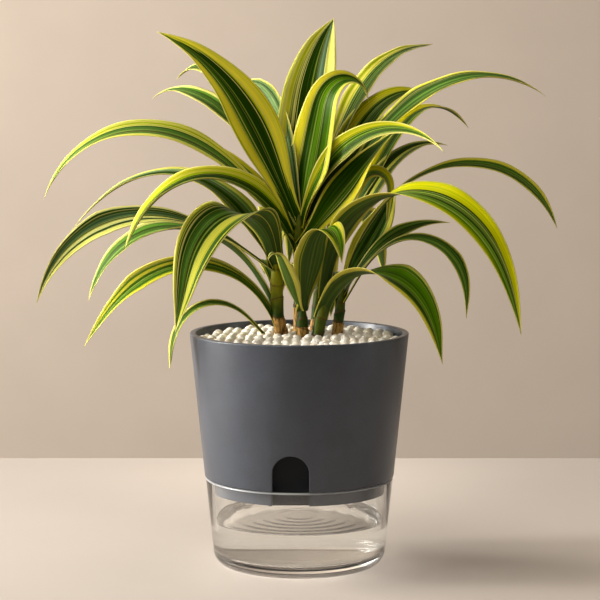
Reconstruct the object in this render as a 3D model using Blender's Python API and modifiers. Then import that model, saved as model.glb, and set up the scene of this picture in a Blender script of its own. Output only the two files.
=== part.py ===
# Potted song of india: a striped dracaena with six leafy stems in a self-watering planter.
# A charcoal pot rests on the rim of a clear glass reservoir that is part filled with water.
# Sizes are in millimetres and the scene is in metres, +Z up, origin at the middle of the glass foot.
# The front, with the arched fill notch, faces -Y.

import math
import random

import bmesh
import bpy
import numpy as np

MM = 0.001
GAP = 0.3                  # clearance between pieces that touch
TURN_STEPS = 48            # facets round the pot, the glass and what they hold
MERGE = 0.00001            # metres, for the Screw modifiers

# Glass reservoir
GLASS_TOP = 60.8
GLASS_TOP_RADIUS = 64.5
GLASS_FOOT_RADIUS = 58.9   # where the taper would meet the table
GLASS_FOOT_ROUND = 6.5     # outer rounding at the foot
GLASS_WALL = 3.4
GLASS_FLOOR = 8.0          # thickness of the bottom
GLASS_FLOOR_ROUND = 7.0    # inner rounding at the bottom
GLASS_RIM_ROUND = 1.2
WATER_TOP = 31.2

# Planter
POT_TOP = 160.5
POT_TOP_RADIUS = 75.0
POT_LIP_ROUND = 1.7
POT_LIP_WIDTH = 4.2
POT_SKIRT = 61.1           # lower edge of the outer wall, just over the glass rim
POT_SKIRT_RADIUS = 64.9
POT_WALL_STEP = 66.0       # height where the inner wall steps out to the full bore
POT_BORE_RADIUS = 61.4     # inner radius at that step
COLLAR_PLAY = 0.5          # between the glass and the collar that nests inside its rim
COLLAR_BOTTOM = 51.2
COLLAR_WALL = 2.9
COLLAR_CHAMFER = 1.2
POT_FLOOR = 3.0
POT_CHAMFER = 0.6          # on the lip's inner edge and the skirt's lower edge
WELL_CHAMFER = 1.2         # inside, round the floor
WELL_TOP = 62.5            # where the well inside the collar starts to widen to the bore
DRAIN_RADIUS = 1.7
DRAIN_RING = 30.0          # ring on which the outer drain holes lie
DRAIN_COUNT = 6

# Arched fill notch in the front wall, and the closed chute behind it
NOTCH_X = -5.6
NOTCH_HALF = 12.2
NOTCH_TOP = 86.0
CHUTE_BACK = -47.0         # back of the chute, as Y
CHUTE_WALL = 2.4
ARCH_STEPS = 10
HOOD_INSIDE = 1.0          # the hood's block ends this far inside the outer faces
PAST = 12.0                # how far a cutter runs past what it cuts

# Soil and pebbles
SOIL_TOP = 148.0
PEBBLE_BASE_TOP = 152.9
PEBBLE_PITCH = 11.3        # larger than life, so that a modest number covers the bed
PEBBLE_RADIUS = 5.9
PEBBLE_HEIGHT = 3.5
PEBBLE_JITTER = 0.5
PEBBLE_SIZES = (0.93, 1.03)
PEBBLE_TILT = 0.3          # radians
PEBBLE_MARGIN = 0.4        # between the outermost stones and the edge of the bed
PEBBLE_SEED = 14

# Canes: radius at the foot, then the points of the middle line from the buried end up
CANE_FOOT = 118
CANE_STRAIGHT = 158        # a cane stands upright to this height, clear of its hole
CANE_TAPER = 0.86          # radius at the top over radius at the foot
HOLE_PLAY = 0.4            # between a cane and its hole
CANES = {
    "stem_left": (4.9, [(-12, 5, CANE_FOOT), (-12, 5, CANE_STRAIGHT), (-15, 4, 172), (-15.5, 3, 190),
                        (-16, 2, 211)]),
    "stem_front": (4.9, [(2, -0.5, CANE_FOOT), (2, -0.5, CANE_STRAIGHT), (2, -0.5, 181)]),
    "stem_front_right": (4.6, [(12.5, -2, CANE_FOOT), (12.5, -2, CANE_STRAIGHT), (15, -3, 172),
                               (18, -4, 189)]),
    "stem_right": (4.0, [(26, 9, CANE_FOOT), (26, 9, CANE_STRAIGHT), (27.5, 9, 171), (30, 9, 190)]),
    "stem_tall": (4.7, [(0, 17, CANE_FOOT), (0, 17, CANE_STRAIGHT), (0.5, 16, 190), (0, 14, 215),
                        (0, 13, 240)]),
    "stem_back": (4.2, [(11, 28, CANE_FOOT), (11, 28, CANE_STRAIGHT), (13, 29, 178), (17, 30, 212)]),
}

# Leaves of each cane: height of the root, heading, length, slope at the root, slope at the tip,
# middle of the bend and spread of the bend as shares of the length, sweep of the heading,
# width, roll at the root, roll at the tip. Headings go round from +X towards +Y, in degrees.
LEAVES = {
    "stem_tall": {
        "L1": (226, 175, 178, 66, -35, 1.00, 1.32, -16, 29, 65, 55),
        "L2": (233, 152, 178, 63, -95, 0.90, 1.05, -30, 24, 40, 30),
        "L3": (229, 146, 200, 58, -67, 0.83, 1.41, -29, 24, 35, 25),
        "U4": (236, 112, 173, 76, -12, 0.58, 0.95, 0, 26, 20, 10),
        "U1": (238, 64, 158, 83, 19, 0.76, 0.76, -1, 35, -26, -26),
        "U2": (234, 42, 215, 56, 5, 0.64, 0.24, 22, 22, -35, -20),
        "U3": (224, 6, 150, 80, -95, 0.83, 0.44, 20, 32, -85, -45),
        "R3": (221, -28, 176, 84, -74, 0.67, 1.60, -30, 26, -70, -30),
        "R12": (223, -6, 115, 57, -90, 0.94, 0.96, -2, 27, -60, -55),
        "R1": (229, 6, 222, 55, -95, 0.90, 1.40, 5, 27, -55, -35),
        "R1b": (232, 24, 147, 56, -90, 0.97, 0.98, 7, 24, -40, -30),
        "L4": (220, 182, 228, 51, -92, 0.73, 1.21, -8, 22, 45, 35),
        "L4b": (223, 172, 107, 52, -90, 0.99, 1.14, -2, 22, 45, 35),
        "L6": (207, 208, 191, 78, -83, 0.56, 1.41, 17, 24, 40, 30),
        "K1": (230, 88, 176, 62, -70, 0.72, 1.20, 6, 27, 0, 5),
        "K2": (228, 122, 172, 60, -80, 0.68, 1.20, 6, 25, 5, 10),
        "K3": (226, 66, 182, 60, -76, 0.68, 1.20, -6, 25, -5, -10),
    },
    "stem_left": {
        "L5": (205, 162, 194, 60, -51, 0.52, 1.05, -4, 17, 30, 25),
        "L8": (203, 194, 205, 52, -92, 0.61, 1.56, -3, 23, 45, 35),
        "L9": (172, 176, 193, 66, -92, 0.61, 1.22, -5, 20, -25, -15),
        "L10": (158, 200, 185, 71, -57, 0.44, 1.07, -8, 24, -35, 40),
        "L11": (204, 228, 174, 92, -80, 0.37, 0.90, -30, 34, 15, 45),
        "L12": (157, 205, 122, 34, -95, 0.62, 0.78, -10, 10, 15, 20),
        "K8": (200, 122, 150, 56, -80, 0.58, 1.15, 0, 23, 5, 10),
        "K9": (182, 116, 112, 46, -86, 0.55, 1.10, 0, 18, 5, 10),
    },
    "stem_front": {
        "R10": (175, -60, 100, 69, -69, 0.72, 0.56, 2, 31, 0, -20),
        "R11": (173, -132, 60, 63, -90, 0.89, 0.36, -11, 15, 0, 0),
    },
    "stem_front_right": {
        "R6": (186, -28, 235, 92, -76, 0.41, 1.09, 19, 28, -15, -45),
        "R9": (168, -32, 149, 92, -79, 0.38, 1.17, 20, 25, -5, -40),
    },
    "stem_right": {
        "R5": (188, 8, 220, 87, -94, 0.62, 1.60, 12, 18, -35, -25),
        "R7": (176, -10, 150, 61, -95, 0.57, 0.91, 3, 20, 20, 20),
        "R8": (184, 18, 103, 65, -27, 0.65, 1.34, 0, 18, -25, -25),
        "BR6": (183, 62, 121, 69, 31, 0.10, 0.44, 11, 22, -20, -20),
        "K10": (172, 48, 140, 54, -85, 0.55, 1.15, 6, 20, -5, -10),
    },
    "stem_back": {
        "R2": (206, 42, 215, 52, -33, 0.71, 0.63, 15, 16, -10, -10),
        "R4": (204, 30, 145, 54, -26, 0.79, 0.74, 3, 20, -35, -35),
        "R13": (207, 5, 117, 65, -95, 0.65, 0.35, -3, 20, -25, -25),
        "K4": (206, 100, 160, 48, -82, 0.58, 1.10, 6, 25, 0, 5),
        "K5": (203, 70, 170, 44, -82, 0.58, 1.15, -6, 24, 0, -5),
        "K6": (198, 132, 150, 42, -86, 0.56, 1.15, 4, 22, 5, 5),
        "K7": (190, 86, 140, 34, -88, 0.52, 1.10, 6, 21, 0, 5),
        "K11": (184, 114, 104, 40, -86, 0.55, 1.05, 0, 17, 5, 5),
    },
}
LEAF_STATION_PITCH = 16.0  # length of blade per cross section
LEAF_THICKNESS = 0.85
LEAF_BASE_SHARE = 0.35     # width at the root over the full width
LEAF_WIDEST = 0.45         # where along the leaf it is widest
LEAF_TIP_HALF = 0.5        # half width where the tip is cut
LEAF_CHANNEL = 0.25        # rise of the edges over the midrib, as a share of the half width
LEAF_TAPER_POWER = 2.1
SPINE_STEPS = 120

COLOURS = {                # sRGB colour, roughness, metallic
    "charcoal": ((0.27, 0.27, 0.28), 0.62, 0.0),
    "glass": ((0.86, 0.90, 0.90), 0.05, 0.0),
    "water": ((0.80, 0.88, 0.90), 0.03, 0.0),
    "soil": ((0.16, 0.11, 0.08), 0.95, 0.0),
    "pebble": ((0.90, 0.87, 0.80), 0.70, 0.0),
    "foliage": ((0.30, 0.46, 0.10), 0.45, 0.0),
}


def linear(channel):
    """sRGB channel, 0 to 1, as linear light."""
    return channel / 12.92 if channel <= 0.04045 else ((channel + 0.055) / 1.055) ** 2.4


def material(name, key):
    colour, roughness, metallic = COLOURS[key]
    mat = bpy.data.materials.new(name)
    mat.use_nodes = True
    shader = mat.node_tree.nodes["Principled BSDF"]
    shader.inputs["Base Color"].default_value = (*[linear(c) for c in colour], 1.0)
    shader.inputs["Roughness"].default_value = roughness
    shader.inputs["Metallic"].default_value = metallic
    mat.diffuse_color = (*[linear(c) for c in colour], 1.0)
    return mat


def add_mesh(name, points, faces, collection, edges=()):
    """A mesh object from points in millimetres."""
    mesh = bpy.data.meshes.new(name)
    scaled = [(x * MM, y * MM, z * MM) for x, y, z in points]
    mesh.from_pydata(scaled, list(edges), list(faces))
    mesh.update()
    obj = bpy.data.objects.new(name, mesh)
    collection.objects.link(obj)
    return obj


def lathe(name, profile, collection, closed=False):
    """Turns (radius, height) points round Z. A closed profile makes a ring."""
    points = [(r, 0.0, z) for r, z in profile]
    edges = [(i, i + 1) for i in range(len(points) - 1)]
    if closed:
        edges.append((len(points) - 1, 0))
    obj = add_mesh(name, points, (), collection, edges)
    screw = obj.modifiers.new("turn", "SCREW")
    screw.axis = "Z"
    screw.steps = TURN_STEPS
    screw.render_steps = TURN_STEPS
    screw.use_merge_vertices = True
    screw.merge_threshold = MERGE
    return obj


def arc(centre, radius, start, end, steps):
    """Points on an arc in the profile plane, angles in degrees from +X towards +Z."""
    angles = np.radians(np.linspace(start, end, steps + 1))
    return [(centre[0] + radius * math.cos(a), centre[1] + radius * math.sin(a)) for a in angles]


def arch_prism(name, half, top, front, back, bottom, collection):
    """A prism along Y whose section is a round-topped arch round NOTCH_X."""
    spring = top - half
    angles = np.linspace(0.0, math.pi, ARCH_STEPS + 1)
    section = [(NOTCH_X + half, bottom)]
    section += [(NOTCH_X + half * math.cos(a), spring + half * math.sin(a)) for a in angles]
    section.append((NOTCH_X - half, bottom))
    count = len(section)
    points = [(x, front, z) for x, z in section] + [(x, back, z) for x, z in section]
    faces = [tuple(range(count)), tuple(reversed(range(count, 2 * count)))]
    faces += [(i, i + count, (i + 1) % count + count, (i + 1) % count) for i in range(count)]
    obj = add_mesh(name, points, faces, collection)
    face_outwards(obj)
    return obj


def face_outwards(obj):
    mesh = bmesh.new()
    mesh.from_mesh(obj.data)
    bmesh.ops.recalc_face_normals(mesh, faces=mesh.faces)
    mesh.to_mesh(obj.data)
    mesh.free()


def cylinder(name, x, y, bottom, top, radius, sides, collection):
    mesh = bpy.data.meshes.new(name)
    shape = bmesh.new()
    bmesh.ops.create_cone(shape, cap_ends=True, segments=sides, radius1=radius * MM, radius2=radius * MM,
                          depth=(top - bottom) * MM)
    shape.to_mesh(mesh)
    shape.free()
    obj = bpy.data.objects.new(name, mesh)
    obj.location = (x * MM, y * MM, (top + bottom) / 2 * MM)
    collection.objects.link(obj)
    return obj


def combine(obj, other, operation, solver="EXACT"):
    """A live Boolean with another object or with a whole collection."""
    modifier = obj.modifiers.new(operation.lower(), "BOOLEAN")
    modifier.operation = operation
    modifier.solver = solver
    if isinstance(other, bpy.types.Collection):
        modifier.operand_type = "COLLECTION"
        modifier.collection = other
    else:
        modifier.object = other
    return modifier


def apply_modifiers(obj):
    """Replaces the object's mesh by its evaluated one."""
    bpy.context.view_layer.update()
    evaluated = obj.evaluated_get(bpy.context.evaluated_depsgraph_get())
    mesh = bpy.data.meshes.new_from_object(evaluated)
    obj.modifiers.clear()
    obj.data = mesh


def keep_largest_shell(obj):
    """Drops loose scraps, and the shells of hollows that fusing sealed, so that those are filled."""
    mesh = bmesh.new()
    mesh.from_mesh(obj.data)
    left = set(mesh.verts)
    shells = []
    while left:
        shell = set()
        queue = [left.pop()]
        while queue:
            vert = queue.pop()
            shell.add(vert)
            for edge in vert.link_edges:
                other = edge.other_vert(vert)
                if other in left:
                    left.discard(other)
                    queue.append(other)
        shells.append(shell)
    shells.sort(key=len, reverse=True)
    scraps = [vert for shell in shells[1:] for vert in shell]
    bmesh.ops.delete(mesh, geom=scraps, context="VERTS")
    mesh.to_mesh(obj.data)
    mesh.free()


def smooth_round(obj, angle=40):
    obj.data.shade_smooth()
    obj.data.set_sharp_from_angle(angle=math.radians(angle))


def glass_radius(z):
    """Outer radius of the reservoir's taper."""
    return GLASS_FOOT_RADIUS + (GLASS_TOP_RADIUS - GLASS_FOOT_RADIUS) * z / GLASS_TOP


def collar_radius(z):
    """Outer radius of the collar, which follows the inside of the glass."""
    return glass_radius(z) - GLASS_WALL - COLLAR_PLAY


def pot_radius(z):
    """Outer radius of the planter's taper."""
    return POT_SKIRT_RADIUS + (POT_TOP_RADIUS - POT_SKIRT_RADIUS) * (z - POT_SKIRT) / (POT_TOP - POT_SKIRT)


def bore_radius(z):
    """Inner radius of the planter above the step."""
    top = POT_TOP_RADIUS - POT_LIP_WIDTH
    return POT_BORE_RADIUS + (top - POT_BORE_RADIUS) * (z - POT_WALL_STEP) / (POT_TOP - POT_WALL_STEP)


def build_reservoir(parts):
    inner = glass_radius(GLASS_FLOOR) - GLASS_WALL
    rim_in = GLASS_TOP_RADIUS - GLASS_WALL
    profile = [(0.0, GLASS_FLOOR)]
    profile += arc((inner - GLASS_FLOOR_ROUND, GLASS_FLOOR + GLASS_FLOOR_ROUND), GLASS_FLOOR_ROUND, -90, 0, 4)
    profile += [(rim_in, GLASS_TOP - GLASS_RIM_ROUND), (rim_in + GLASS_RIM_ROUND, GLASS_TOP)]
    profile += [(GLASS_TOP_RADIUS - GLASS_RIM_ROUND, GLASS_TOP), (GLASS_TOP_RADIUS, GLASS_TOP - GLASS_RIM_ROUND)]
    foot = glass_radius(GLASS_FOOT_ROUND)
    profile += arc((foot - GLASS_FOOT_ROUND, GLASS_FOOT_ROUND), GLASS_FOOT_ROUND, 0, -90, 4)
    profile.append((0.0, 0.0))
    obj = lathe("glass_reservoir", profile, parts)
    obj.data.materials.append(material("clear_glass", "glass"))
    smooth_round(obj)


def build_water(parts):
    inner = glass_radius(GLASS_FLOOR) - GLASS_WALL
    centre = (inner - GLASS_FLOOR_ROUND, GLASS_FLOOR + GLASS_FLOOR_ROUND)
    profile = [(0.0, WATER_TOP), (glass_radius(WATER_TOP) - GLASS_WALL - 2 * GAP, WATER_TOP)]
    profile += arc(centre, GLASS_FLOOR_ROUND - GAP, 0, -90, 4)
    profile.append((0.0, GLASS_FLOOR + GAP))
    obj = lathe("water", profile, parts)
    obj.data.materials.append(material("water", "water"))
    smooth_round(obj)


def build_pot(parts, cutters):
    floor_top = COLLAR_BOTTOM + POT_FLOOR
    foot = collar_radius(COLLAR_BOTTOM)
    well = foot - COLLAR_WALL
    lip_in = POT_TOP_RADIUS - POT_LIP_WIDTH
    profile = [(lip_in + POT_CHAMFER, POT_TOP)]
    profile += arc((POT_TOP_RADIUS - POT_LIP_ROUND, POT_TOP - POT_LIP_ROUND), POT_LIP_ROUND, 90, 0, 3)
    profile += [(POT_SKIRT_RADIUS, POT_SKIRT + POT_CHAMFER), (POT_SKIRT_RADIUS - POT_CHAMFER, POT_SKIRT)]
    profile += [(collar_radius(POT_SKIRT), POT_SKIRT), (foot, COLLAR_BOTTOM + COLLAR_CHAMFER)]
    profile += [(foot - COLLAR_CHAMFER, COLLAR_BOTTOM), (DRAIN_RADIUS, COLLAR_BOTTOM)]
    profile += [(DRAIN_RADIUS, floor_top), (well - WELL_CHAMFER, floor_top), (well, floor_top + WELL_CHAMFER)]
    profile += [(well, WELL_TOP), (POT_BORE_RADIUS, POT_WALL_STEP)]
    profile.append((bore_radius(POT_TOP - POT_CHAMFER), POT_TOP - POT_CHAMFER))
    obj = lathe("planter_pot", profile, parts, closed=True)

    # The chute is an arched box trimmed to the inside of the wall, then hollowed with the notch.
    hood = arch_prism("chute_hood", NOTCH_HALF + CHUTE_WALL, NOTCH_TOP + CHUTE_WALL, -POT_TOP_RADIUS,
                      CHUTE_BACK + CHUTE_WALL, COLLAR_BOTTOM + HOOD_INSIDE, cutters)
    envelope = lathe("chute_envelope", [(0.0, POT_TOP), (pot_radius(POT_TOP) - HOOD_INSIDE, POT_TOP),
                                        (pot_radius(POT_SKIRT) - HOOD_INSIDE, POT_SKIRT + HOOD_INSIDE),
                                        (foot - HOOD_INSIDE, POT_SKIRT + HOOD_INSIDE),
                                        (foot - HOOD_INSIDE, COLLAR_BOTTOM - PAST),
                                        (0.0, COLLAR_BOTTOM - PAST)], cutters)
    combine(hood, envelope, "INTERSECT", "MANIFOLD")
    notch = arch_prism("fill_notch", NOTCH_HALF, NOTCH_TOP, -POT_TOP_RADIUS - PAST, CHUTE_BACK,
                       COLLAR_BOTTOM - PAST, cutters)
    combine(obj, hood, "UNION", "MANIFOLD")
    combine(obj, notch, "DIFFERENCE", "MANIFOLD")
    for i in range(DRAIN_COUNT):
        angle = 2 * math.pi * (i + 0.5) / DRAIN_COUNT
        x, y = DRAIN_RING * math.cos(angle), DRAIN_RING * math.sin(angle)
        drain = cylinder(f"drain_{i + 1}", x, y, COLLAR_BOTTOM - PAST, floor_top + PAST, DRAIN_RADIUS, 8, cutters)
        combine(obj, drain, "DIFFERENCE", "MANIFOLD")
    obj.data.materials.append(material("charcoal_plastic", "charcoal"))
    smooth_round(obj)


def cane_hole_cutters(cutters):
    """Plain upright holes for the canes, in a collection of their own under the cutters."""
    holes = bpy.data.collections.new("cane_holes")
    cutters.children.link(holes)
    for name, (radius, points) in CANES.items():
        x, y, _ = points[0]
        cylinder(f"hole_{name}", x, y, CANE_FOOT - GAP, POT_TOP + PAST, radius + HOLE_PLAY, 12, holes)
    return holes


def build_soil(parts, cutters, holes):
    floor_top = COLLAR_BOTTOM + POT_FLOOR
    well = collar_radius(COLLAR_BOTTOM) - COLLAR_WALL - GAP
    profile = [(0.0, SOIL_TOP), (bore_radius(SOIL_TOP) - GAP, SOIL_TOP)]
    profile += [(POT_BORE_RADIUS - GAP, POT_WALL_STEP + GAP), (well, WELL_TOP + GAP)]
    profile += [(well, floor_top + WELL_CHAMFER + GAP), (well - WELL_CHAMFER, floor_top + GAP)]
    profile.append((0.0, floor_top + GAP))
    obj = lathe("potting_soil", profile, parts)
    room = CHUTE_WALL + GAP
    hollow = arch_prism("soil_round_chute", NOTCH_HALF + room, NOTCH_TOP + room, -POT_TOP_RADIUS - PAST,
                        CHUTE_BACK + room, COLLAR_BOTTOM - PAST, cutters)
    combine(obj, hollow, "DIFFERENCE", "MANIFOLD")
    combine(obj, holes, "DIFFERENCE", "MANIFOLD")
    obj.data.materials.append(material("potting_soil", "soil"))
    smooth_round(obj)


def build_pebbles(parts, holes):
    """A bed whose top is covered by rounded stones set on a jittered hexagonal grid."""
    profile = [(0.0, PEBBLE_BASE_TOP), (bore_radius(PEBBLE_BASE_TOP) - GAP, PEBBLE_BASE_TOP)]
    profile += [(bore_radius(SOIL_TOP) - GAP, SOIL_TOP + GAP), (0.0, SOIL_TOP + GAP)]
    bed = lathe("pebble_bed", profile, parts)
    stones = bpy.data.collections.new("stones")
    bpy.context.scene.collection.children.link(stones)
    draw = random.Random(PEBBLE_SEED)
    reach = bore_radius(PEBBLE_BASE_TOP) - GAP - PEBBLE_RADIUS - PEBBLE_MARGIN
    rows = int(reach / PEBBLE_PITCH * 2) + 2
    shape = bmesh.new()
    bmesh.ops.create_icosphere(shape, subdivisions=1, radius=1.0)
    mesh = bpy.data.meshes.new("stone")
    shape.to_mesh(mesh)
    shape.free()
    for row in range(-rows, rows + 1):
        for column in range(-rows, rows + 1):
            x = (column + 0.5 * (row % 2)) * PEBBLE_PITCH + draw.uniform(-PEBBLE_JITTER, PEBBLE_JITTER)
            y = row * PEBBLE_PITCH * math.sqrt(0.75) + draw.uniform(-PEBBLE_JITTER, PEBBLE_JITTER)
            size = draw.uniform(*PEBBLE_SIZES)
            turn = draw.uniform(0.0, math.tau)
            if math.hypot(x, y) > reach:
                continue
            stone = bpy.data.objects.new("stone", mesh)
            stone.location = (x * MM, y * MM, PEBBLE_BASE_TOP * MM)
            stone.rotation_euler = (PEBBLE_TILT * math.sin(turn), PEBBLE_TILT * math.cos(turn), turn)
            stone.scale = (PEBBLE_RADIUS * size * MM, PEBBLE_RADIUS * size * MM, PEBBLE_HEIGHT * size * MM)
            stones.objects.link(stone)
    combine(bed, stones, "UNION", "MANIFOLD")
    combine(bed, holes, "DIFFERENCE", "MANIFOLD")
    apply_modifiers(bed)
    clear_collection(stones)
    keep_largest_shell(bed)
    bed.data.materials.append(material("white_pebbles", "pebble"))


def clear_collection(collection):
    for obj in list(collection.objects):
        bpy.data.objects.remove(obj)
    bpy.data.collections.remove(collection)


def smoothstep(t):
    t = np.clip(t, 0.0, 1.0)
    return t * t * (3.0 - 2.0 * t)


def leaf_mesh(name, root, leaf, collection):
    """A channelled blade: its slope eases from the root's to the tip's round the bend, and its heading
    turns by the sweep. Three points across the top face and three below, split alike on both."""
    _, heading, length, rise, fall, bend, spread, sweep, width, roll_root, roll_tip = leaf
    fine = np.linspace(0.0, 1.0, SPINE_STEPS + 1)
    slope = np.radians(rise + (fall - rise) * smoothstep((fine - bend + spread / 2) / spread))
    turn = np.radians(heading + sweep * fine ** 2)
    ahead = np.stack([np.cos(slope) * np.cos(turn), np.cos(slope) * np.sin(turn), np.sin(slope)], axis=1)
    spine = np.zeros_like(ahead)
    spine[1:] = np.cumsum((ahead[1:] + ahead[:-1]) / 2, axis=0) * length / SPINE_STEPS
    spine += np.asarray(root)

    stations = round(length / LEAF_STATION_PITCH) + 1
    pick = np.linspace(0, SPINE_STEPS, stations).round().astype(int)
    share = fine[pick]
    side = np.stack([np.sin(turn[pick]), -np.cos(turn[pick]), 0.0 * share], axis=1)
    up = np.cross(side, ahead[pick])
    roll = np.radians(roll_root + (roll_tip - roll_root) * smoothstep(share))[:, None]
    across = side * np.cos(roll) + up * np.sin(roll)
    normal = up * np.cos(roll) - side * np.sin(roll)

    swell = LEAF_BASE_SHARE + (1 - LEAF_BASE_SHARE) * smoothstep(share / LEAF_WIDEST)
    past = np.clip((share - LEAF_WIDEST) / (1 - LEAF_WIDEST), 0.0, 1.0)
    half = np.maximum(width / 2 * swell * (1 - past ** LEAF_TAPER_POWER), LEAF_TIP_HALF)[:, None]
    centre = spine[pick]
    lift = normal * half * LEAF_CHANNEL / 2
    top = [centre - across * half + lift, centre - lift, centre + across * half + lift]
    below = [row - normal * LEAF_THICKNESS for row in reversed(top)]
    points = np.stack(top + below, axis=1).reshape(-1, 3)

    ring = 6
    faces = []
    for i in range(stations - 1):
        a, b = i * ring, (i + 1) * ring
        for j, rising in ((0, True), (1, False), (3, True), (4, False)):
            corners = (a + j, a + j + 1, b + j + 1, b + j)
            # The diagonals of the lower face lie under those of the upper one.
            if rising:
                faces += [(corners[0], corners[1], corners[2]), (corners[0], corners[2], corners[3])]
            else:
                faces += [(corners[0], corners[1], corners[3]), (corners[1], corners[2], corners[3])]
        for j, k in ((2, 3), (5, 0)):
            faces.append((a + j, a + k, b + k, b + j))
    last = (stations - 1) * ring
    for start in (0, last):
        faces += [(start, start + 1, start + 4, start + 5), (start + 1, start + 2, start + 3, start + 4)]
    obj = add_mesh(name, points.tolist(), faces, collection)
    face_outwards(obj)
    return obj


def cane_mesh(name, radius, points, collection):
    """A tapering tube along the cane's points, as a mesh with welded caps."""
    curve = bpy.data.curves.new(name, "CURVE")
    curve.dimensions = "3D"
    curve.bevel_depth = radius * MM
    curve.bevel_resolution = 2
    curve.use_fill_caps = True
    line = curve.splines.new("POLY")
    line.points.add(len(points) - 1)
    low, high = points[0][2], points[-1][2]
    for point, (x, y, z) in zip(line.points, points):
        point.co = (x * MM, y * MM, z * MM, 1.0)
        point.radius = 1.0 + (CANE_TAPER - 1.0) * (z - low) / (high - low)
    source = bpy.data.objects.new(name + "_curve", curve)
    collection.objects.link(source)
    bpy.context.view_layer.update()
    evaluated = source.evaluated_get(bpy.context.evaluated_depsgraph_get())
    mesh = bpy.data.meshes.new_from_object(evaluated)
    obj = bpy.data.objects.new(name, mesh)
    obj.matrix_world = source.matrix_world
    collection.objects.link(obj)
    bpy.data.objects.remove(source)
    shape = bmesh.new()
    shape.from_mesh(mesh)
    bmesh.ops.remove_doubles(shape, verts=shape.verts, dist=MERGE)
    bmesh.ops.recalc_face_normals(shape, faces=shape.faces)
    shape.to_mesh(mesh)
    shape.free()
    return obj


def on_cane(points, z):
    """The cane's middle at a height."""
    heights = [p[2] for p in points]
    return (float(np.interp(z, heights, [p[0] for p in points])),
            float(np.interp(z, heights, [p[1] for p in points])), float(z))


def build_stems(parts):
    foliage = material("leaf_and_cane", "foliage")
    for name, (radius, points) in CANES.items():
        stem = cane_mesh(name, radius, points, parts)
        blades = bpy.data.collections.new(name + "_blades")
        bpy.context.scene.collection.children.link(blades)
        for key, leaf in LEAVES[name].items():
            leaf_mesh(f"leaf_{key}", on_cane(points, leaf[0]), leaf, blades)
        combine(stem, blades, "UNION", "MANIFOLD")
        apply_modifiers(stem)
        clear_collection(blades)
        keep_largest_shell(stem)
        stem.data.materials.clear()
        stem.data.materials.append(foliage)


def main():
    for obj in list(bpy.data.objects):
        bpy.data.objects.remove(obj)
    parts = bpy.data.collections.new("potted_song_of_india")
    cutters = bpy.data.collections.new("cutters")
    bpy.context.scene.collection.children.link(parts)
    bpy.context.scene.collection.children.link(cutters)
    build_reservoir(parts)
    build_water(parts)
    build_pot(parts, cutters)
    holes = cane_hole_cutters(cutters)
    build_soil(parts, cutters, holes)
    build_pebbles(parts, holes)
    build_stems(parts)
    for obj in cutters.all_objects:
        obj.hide_render = True
        obj.display_type = "WIRE"


main()
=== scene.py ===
import math

import bmesh
import bpy
import numpy as np
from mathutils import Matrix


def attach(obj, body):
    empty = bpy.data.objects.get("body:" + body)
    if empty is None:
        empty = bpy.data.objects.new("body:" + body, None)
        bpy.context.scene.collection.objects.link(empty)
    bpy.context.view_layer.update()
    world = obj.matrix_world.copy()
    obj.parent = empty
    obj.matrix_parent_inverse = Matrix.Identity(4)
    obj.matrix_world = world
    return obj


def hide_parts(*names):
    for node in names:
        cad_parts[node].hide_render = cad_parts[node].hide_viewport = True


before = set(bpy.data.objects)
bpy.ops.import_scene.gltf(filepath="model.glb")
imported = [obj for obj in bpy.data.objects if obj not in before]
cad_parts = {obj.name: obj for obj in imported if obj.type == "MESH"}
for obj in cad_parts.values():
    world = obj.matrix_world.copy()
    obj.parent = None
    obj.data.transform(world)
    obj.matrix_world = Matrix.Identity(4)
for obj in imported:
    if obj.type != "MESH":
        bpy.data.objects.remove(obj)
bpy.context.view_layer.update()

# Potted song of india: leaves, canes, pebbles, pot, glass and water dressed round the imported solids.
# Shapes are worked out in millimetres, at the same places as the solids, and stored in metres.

mm = 0.001


# Small helpers

def hexColour(text):
    # an sRGB hex colour as linear light
    channels = [int(text[i:i + 2], 16) / 255 for i in (1, 3, 5)]
    return (*[c / 12.92 if c <= 0.04045 else ((c + 0.055) / 1.055) ** 2.4 for c in channels], 1.0)


def addNode(tree, kind, inputs=(), **settings):
    # adds a node with its settings, then sets or links its inputs by name or number
    made = tree.nodes.new("ShaderNode" + kind)
    for key, value in settings.items():
        setattr(made, key, value)
    for key, value in dict(inputs).items():
        if isinstance(value, bpy.types.NodeSocket):
            tree.links.new(value, made.inputs[key])
        else:
            made.inputs[key].default_value = value
    return made


def newMaterial(name, **shaderValues):
    # a Principled material with its uniform values on the shader's own sockets
    made = bpy.data.materials.new(name)
    made.use_nodes = True
    shader = made.node_tree.nodes["Principled BSDF"]
    for key, value in shaderValues.items():
        shader.inputs[key].default_value = value
    return made, made.node_tree, shader


def smoothStep(t):
    t = np.clip(t, 0.0, 1.0)
    return t * t * (3.0 - 2.0 * t)


def gridQuads(rows, columns, closedRound=True):
    # quads between neighbouring rows of a grid of points that is stored row by row
    i = np.arange(rows - 1)[:, None] * columns
    j = np.arange(columns if closedRound else columns - 1)[None, :]
    after = (j + 1) % columns
    return np.stack([i + j, i + after, i + columns + after, i + columns + j], axis=-1).reshape(-1, 4)


def meshPiece(name, points, faces, mend=False, sharpAngle=None):
    # a smooth-shaded object at the origin with its place in its mesh
    mesh = bpy.data.meshes.new(name)
    mesh.from_pydata((np.asarray(points) * mm).tolist(), [], faces)
    if mend:
        shape = bmesh.new()
        shape.from_mesh(mesh)
        bmesh.ops.remove_doubles(shape, verts=shape.verts, dist=0.00001)
        bmesh.ops.recalc_face_normals(shape, faces=shape.faces)
        shape.to_mesh(mesh)
        shape.free()
    mesh.shade_smooth()
    if sharpAngle:
        mesh.set_sharp_from_angle(angle=math.radians(sharpAngle))
    piece = bpy.data.objects.new(name, mesh)
    bpy.context.scene.collection.objects.link(piece)
    return piece


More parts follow.
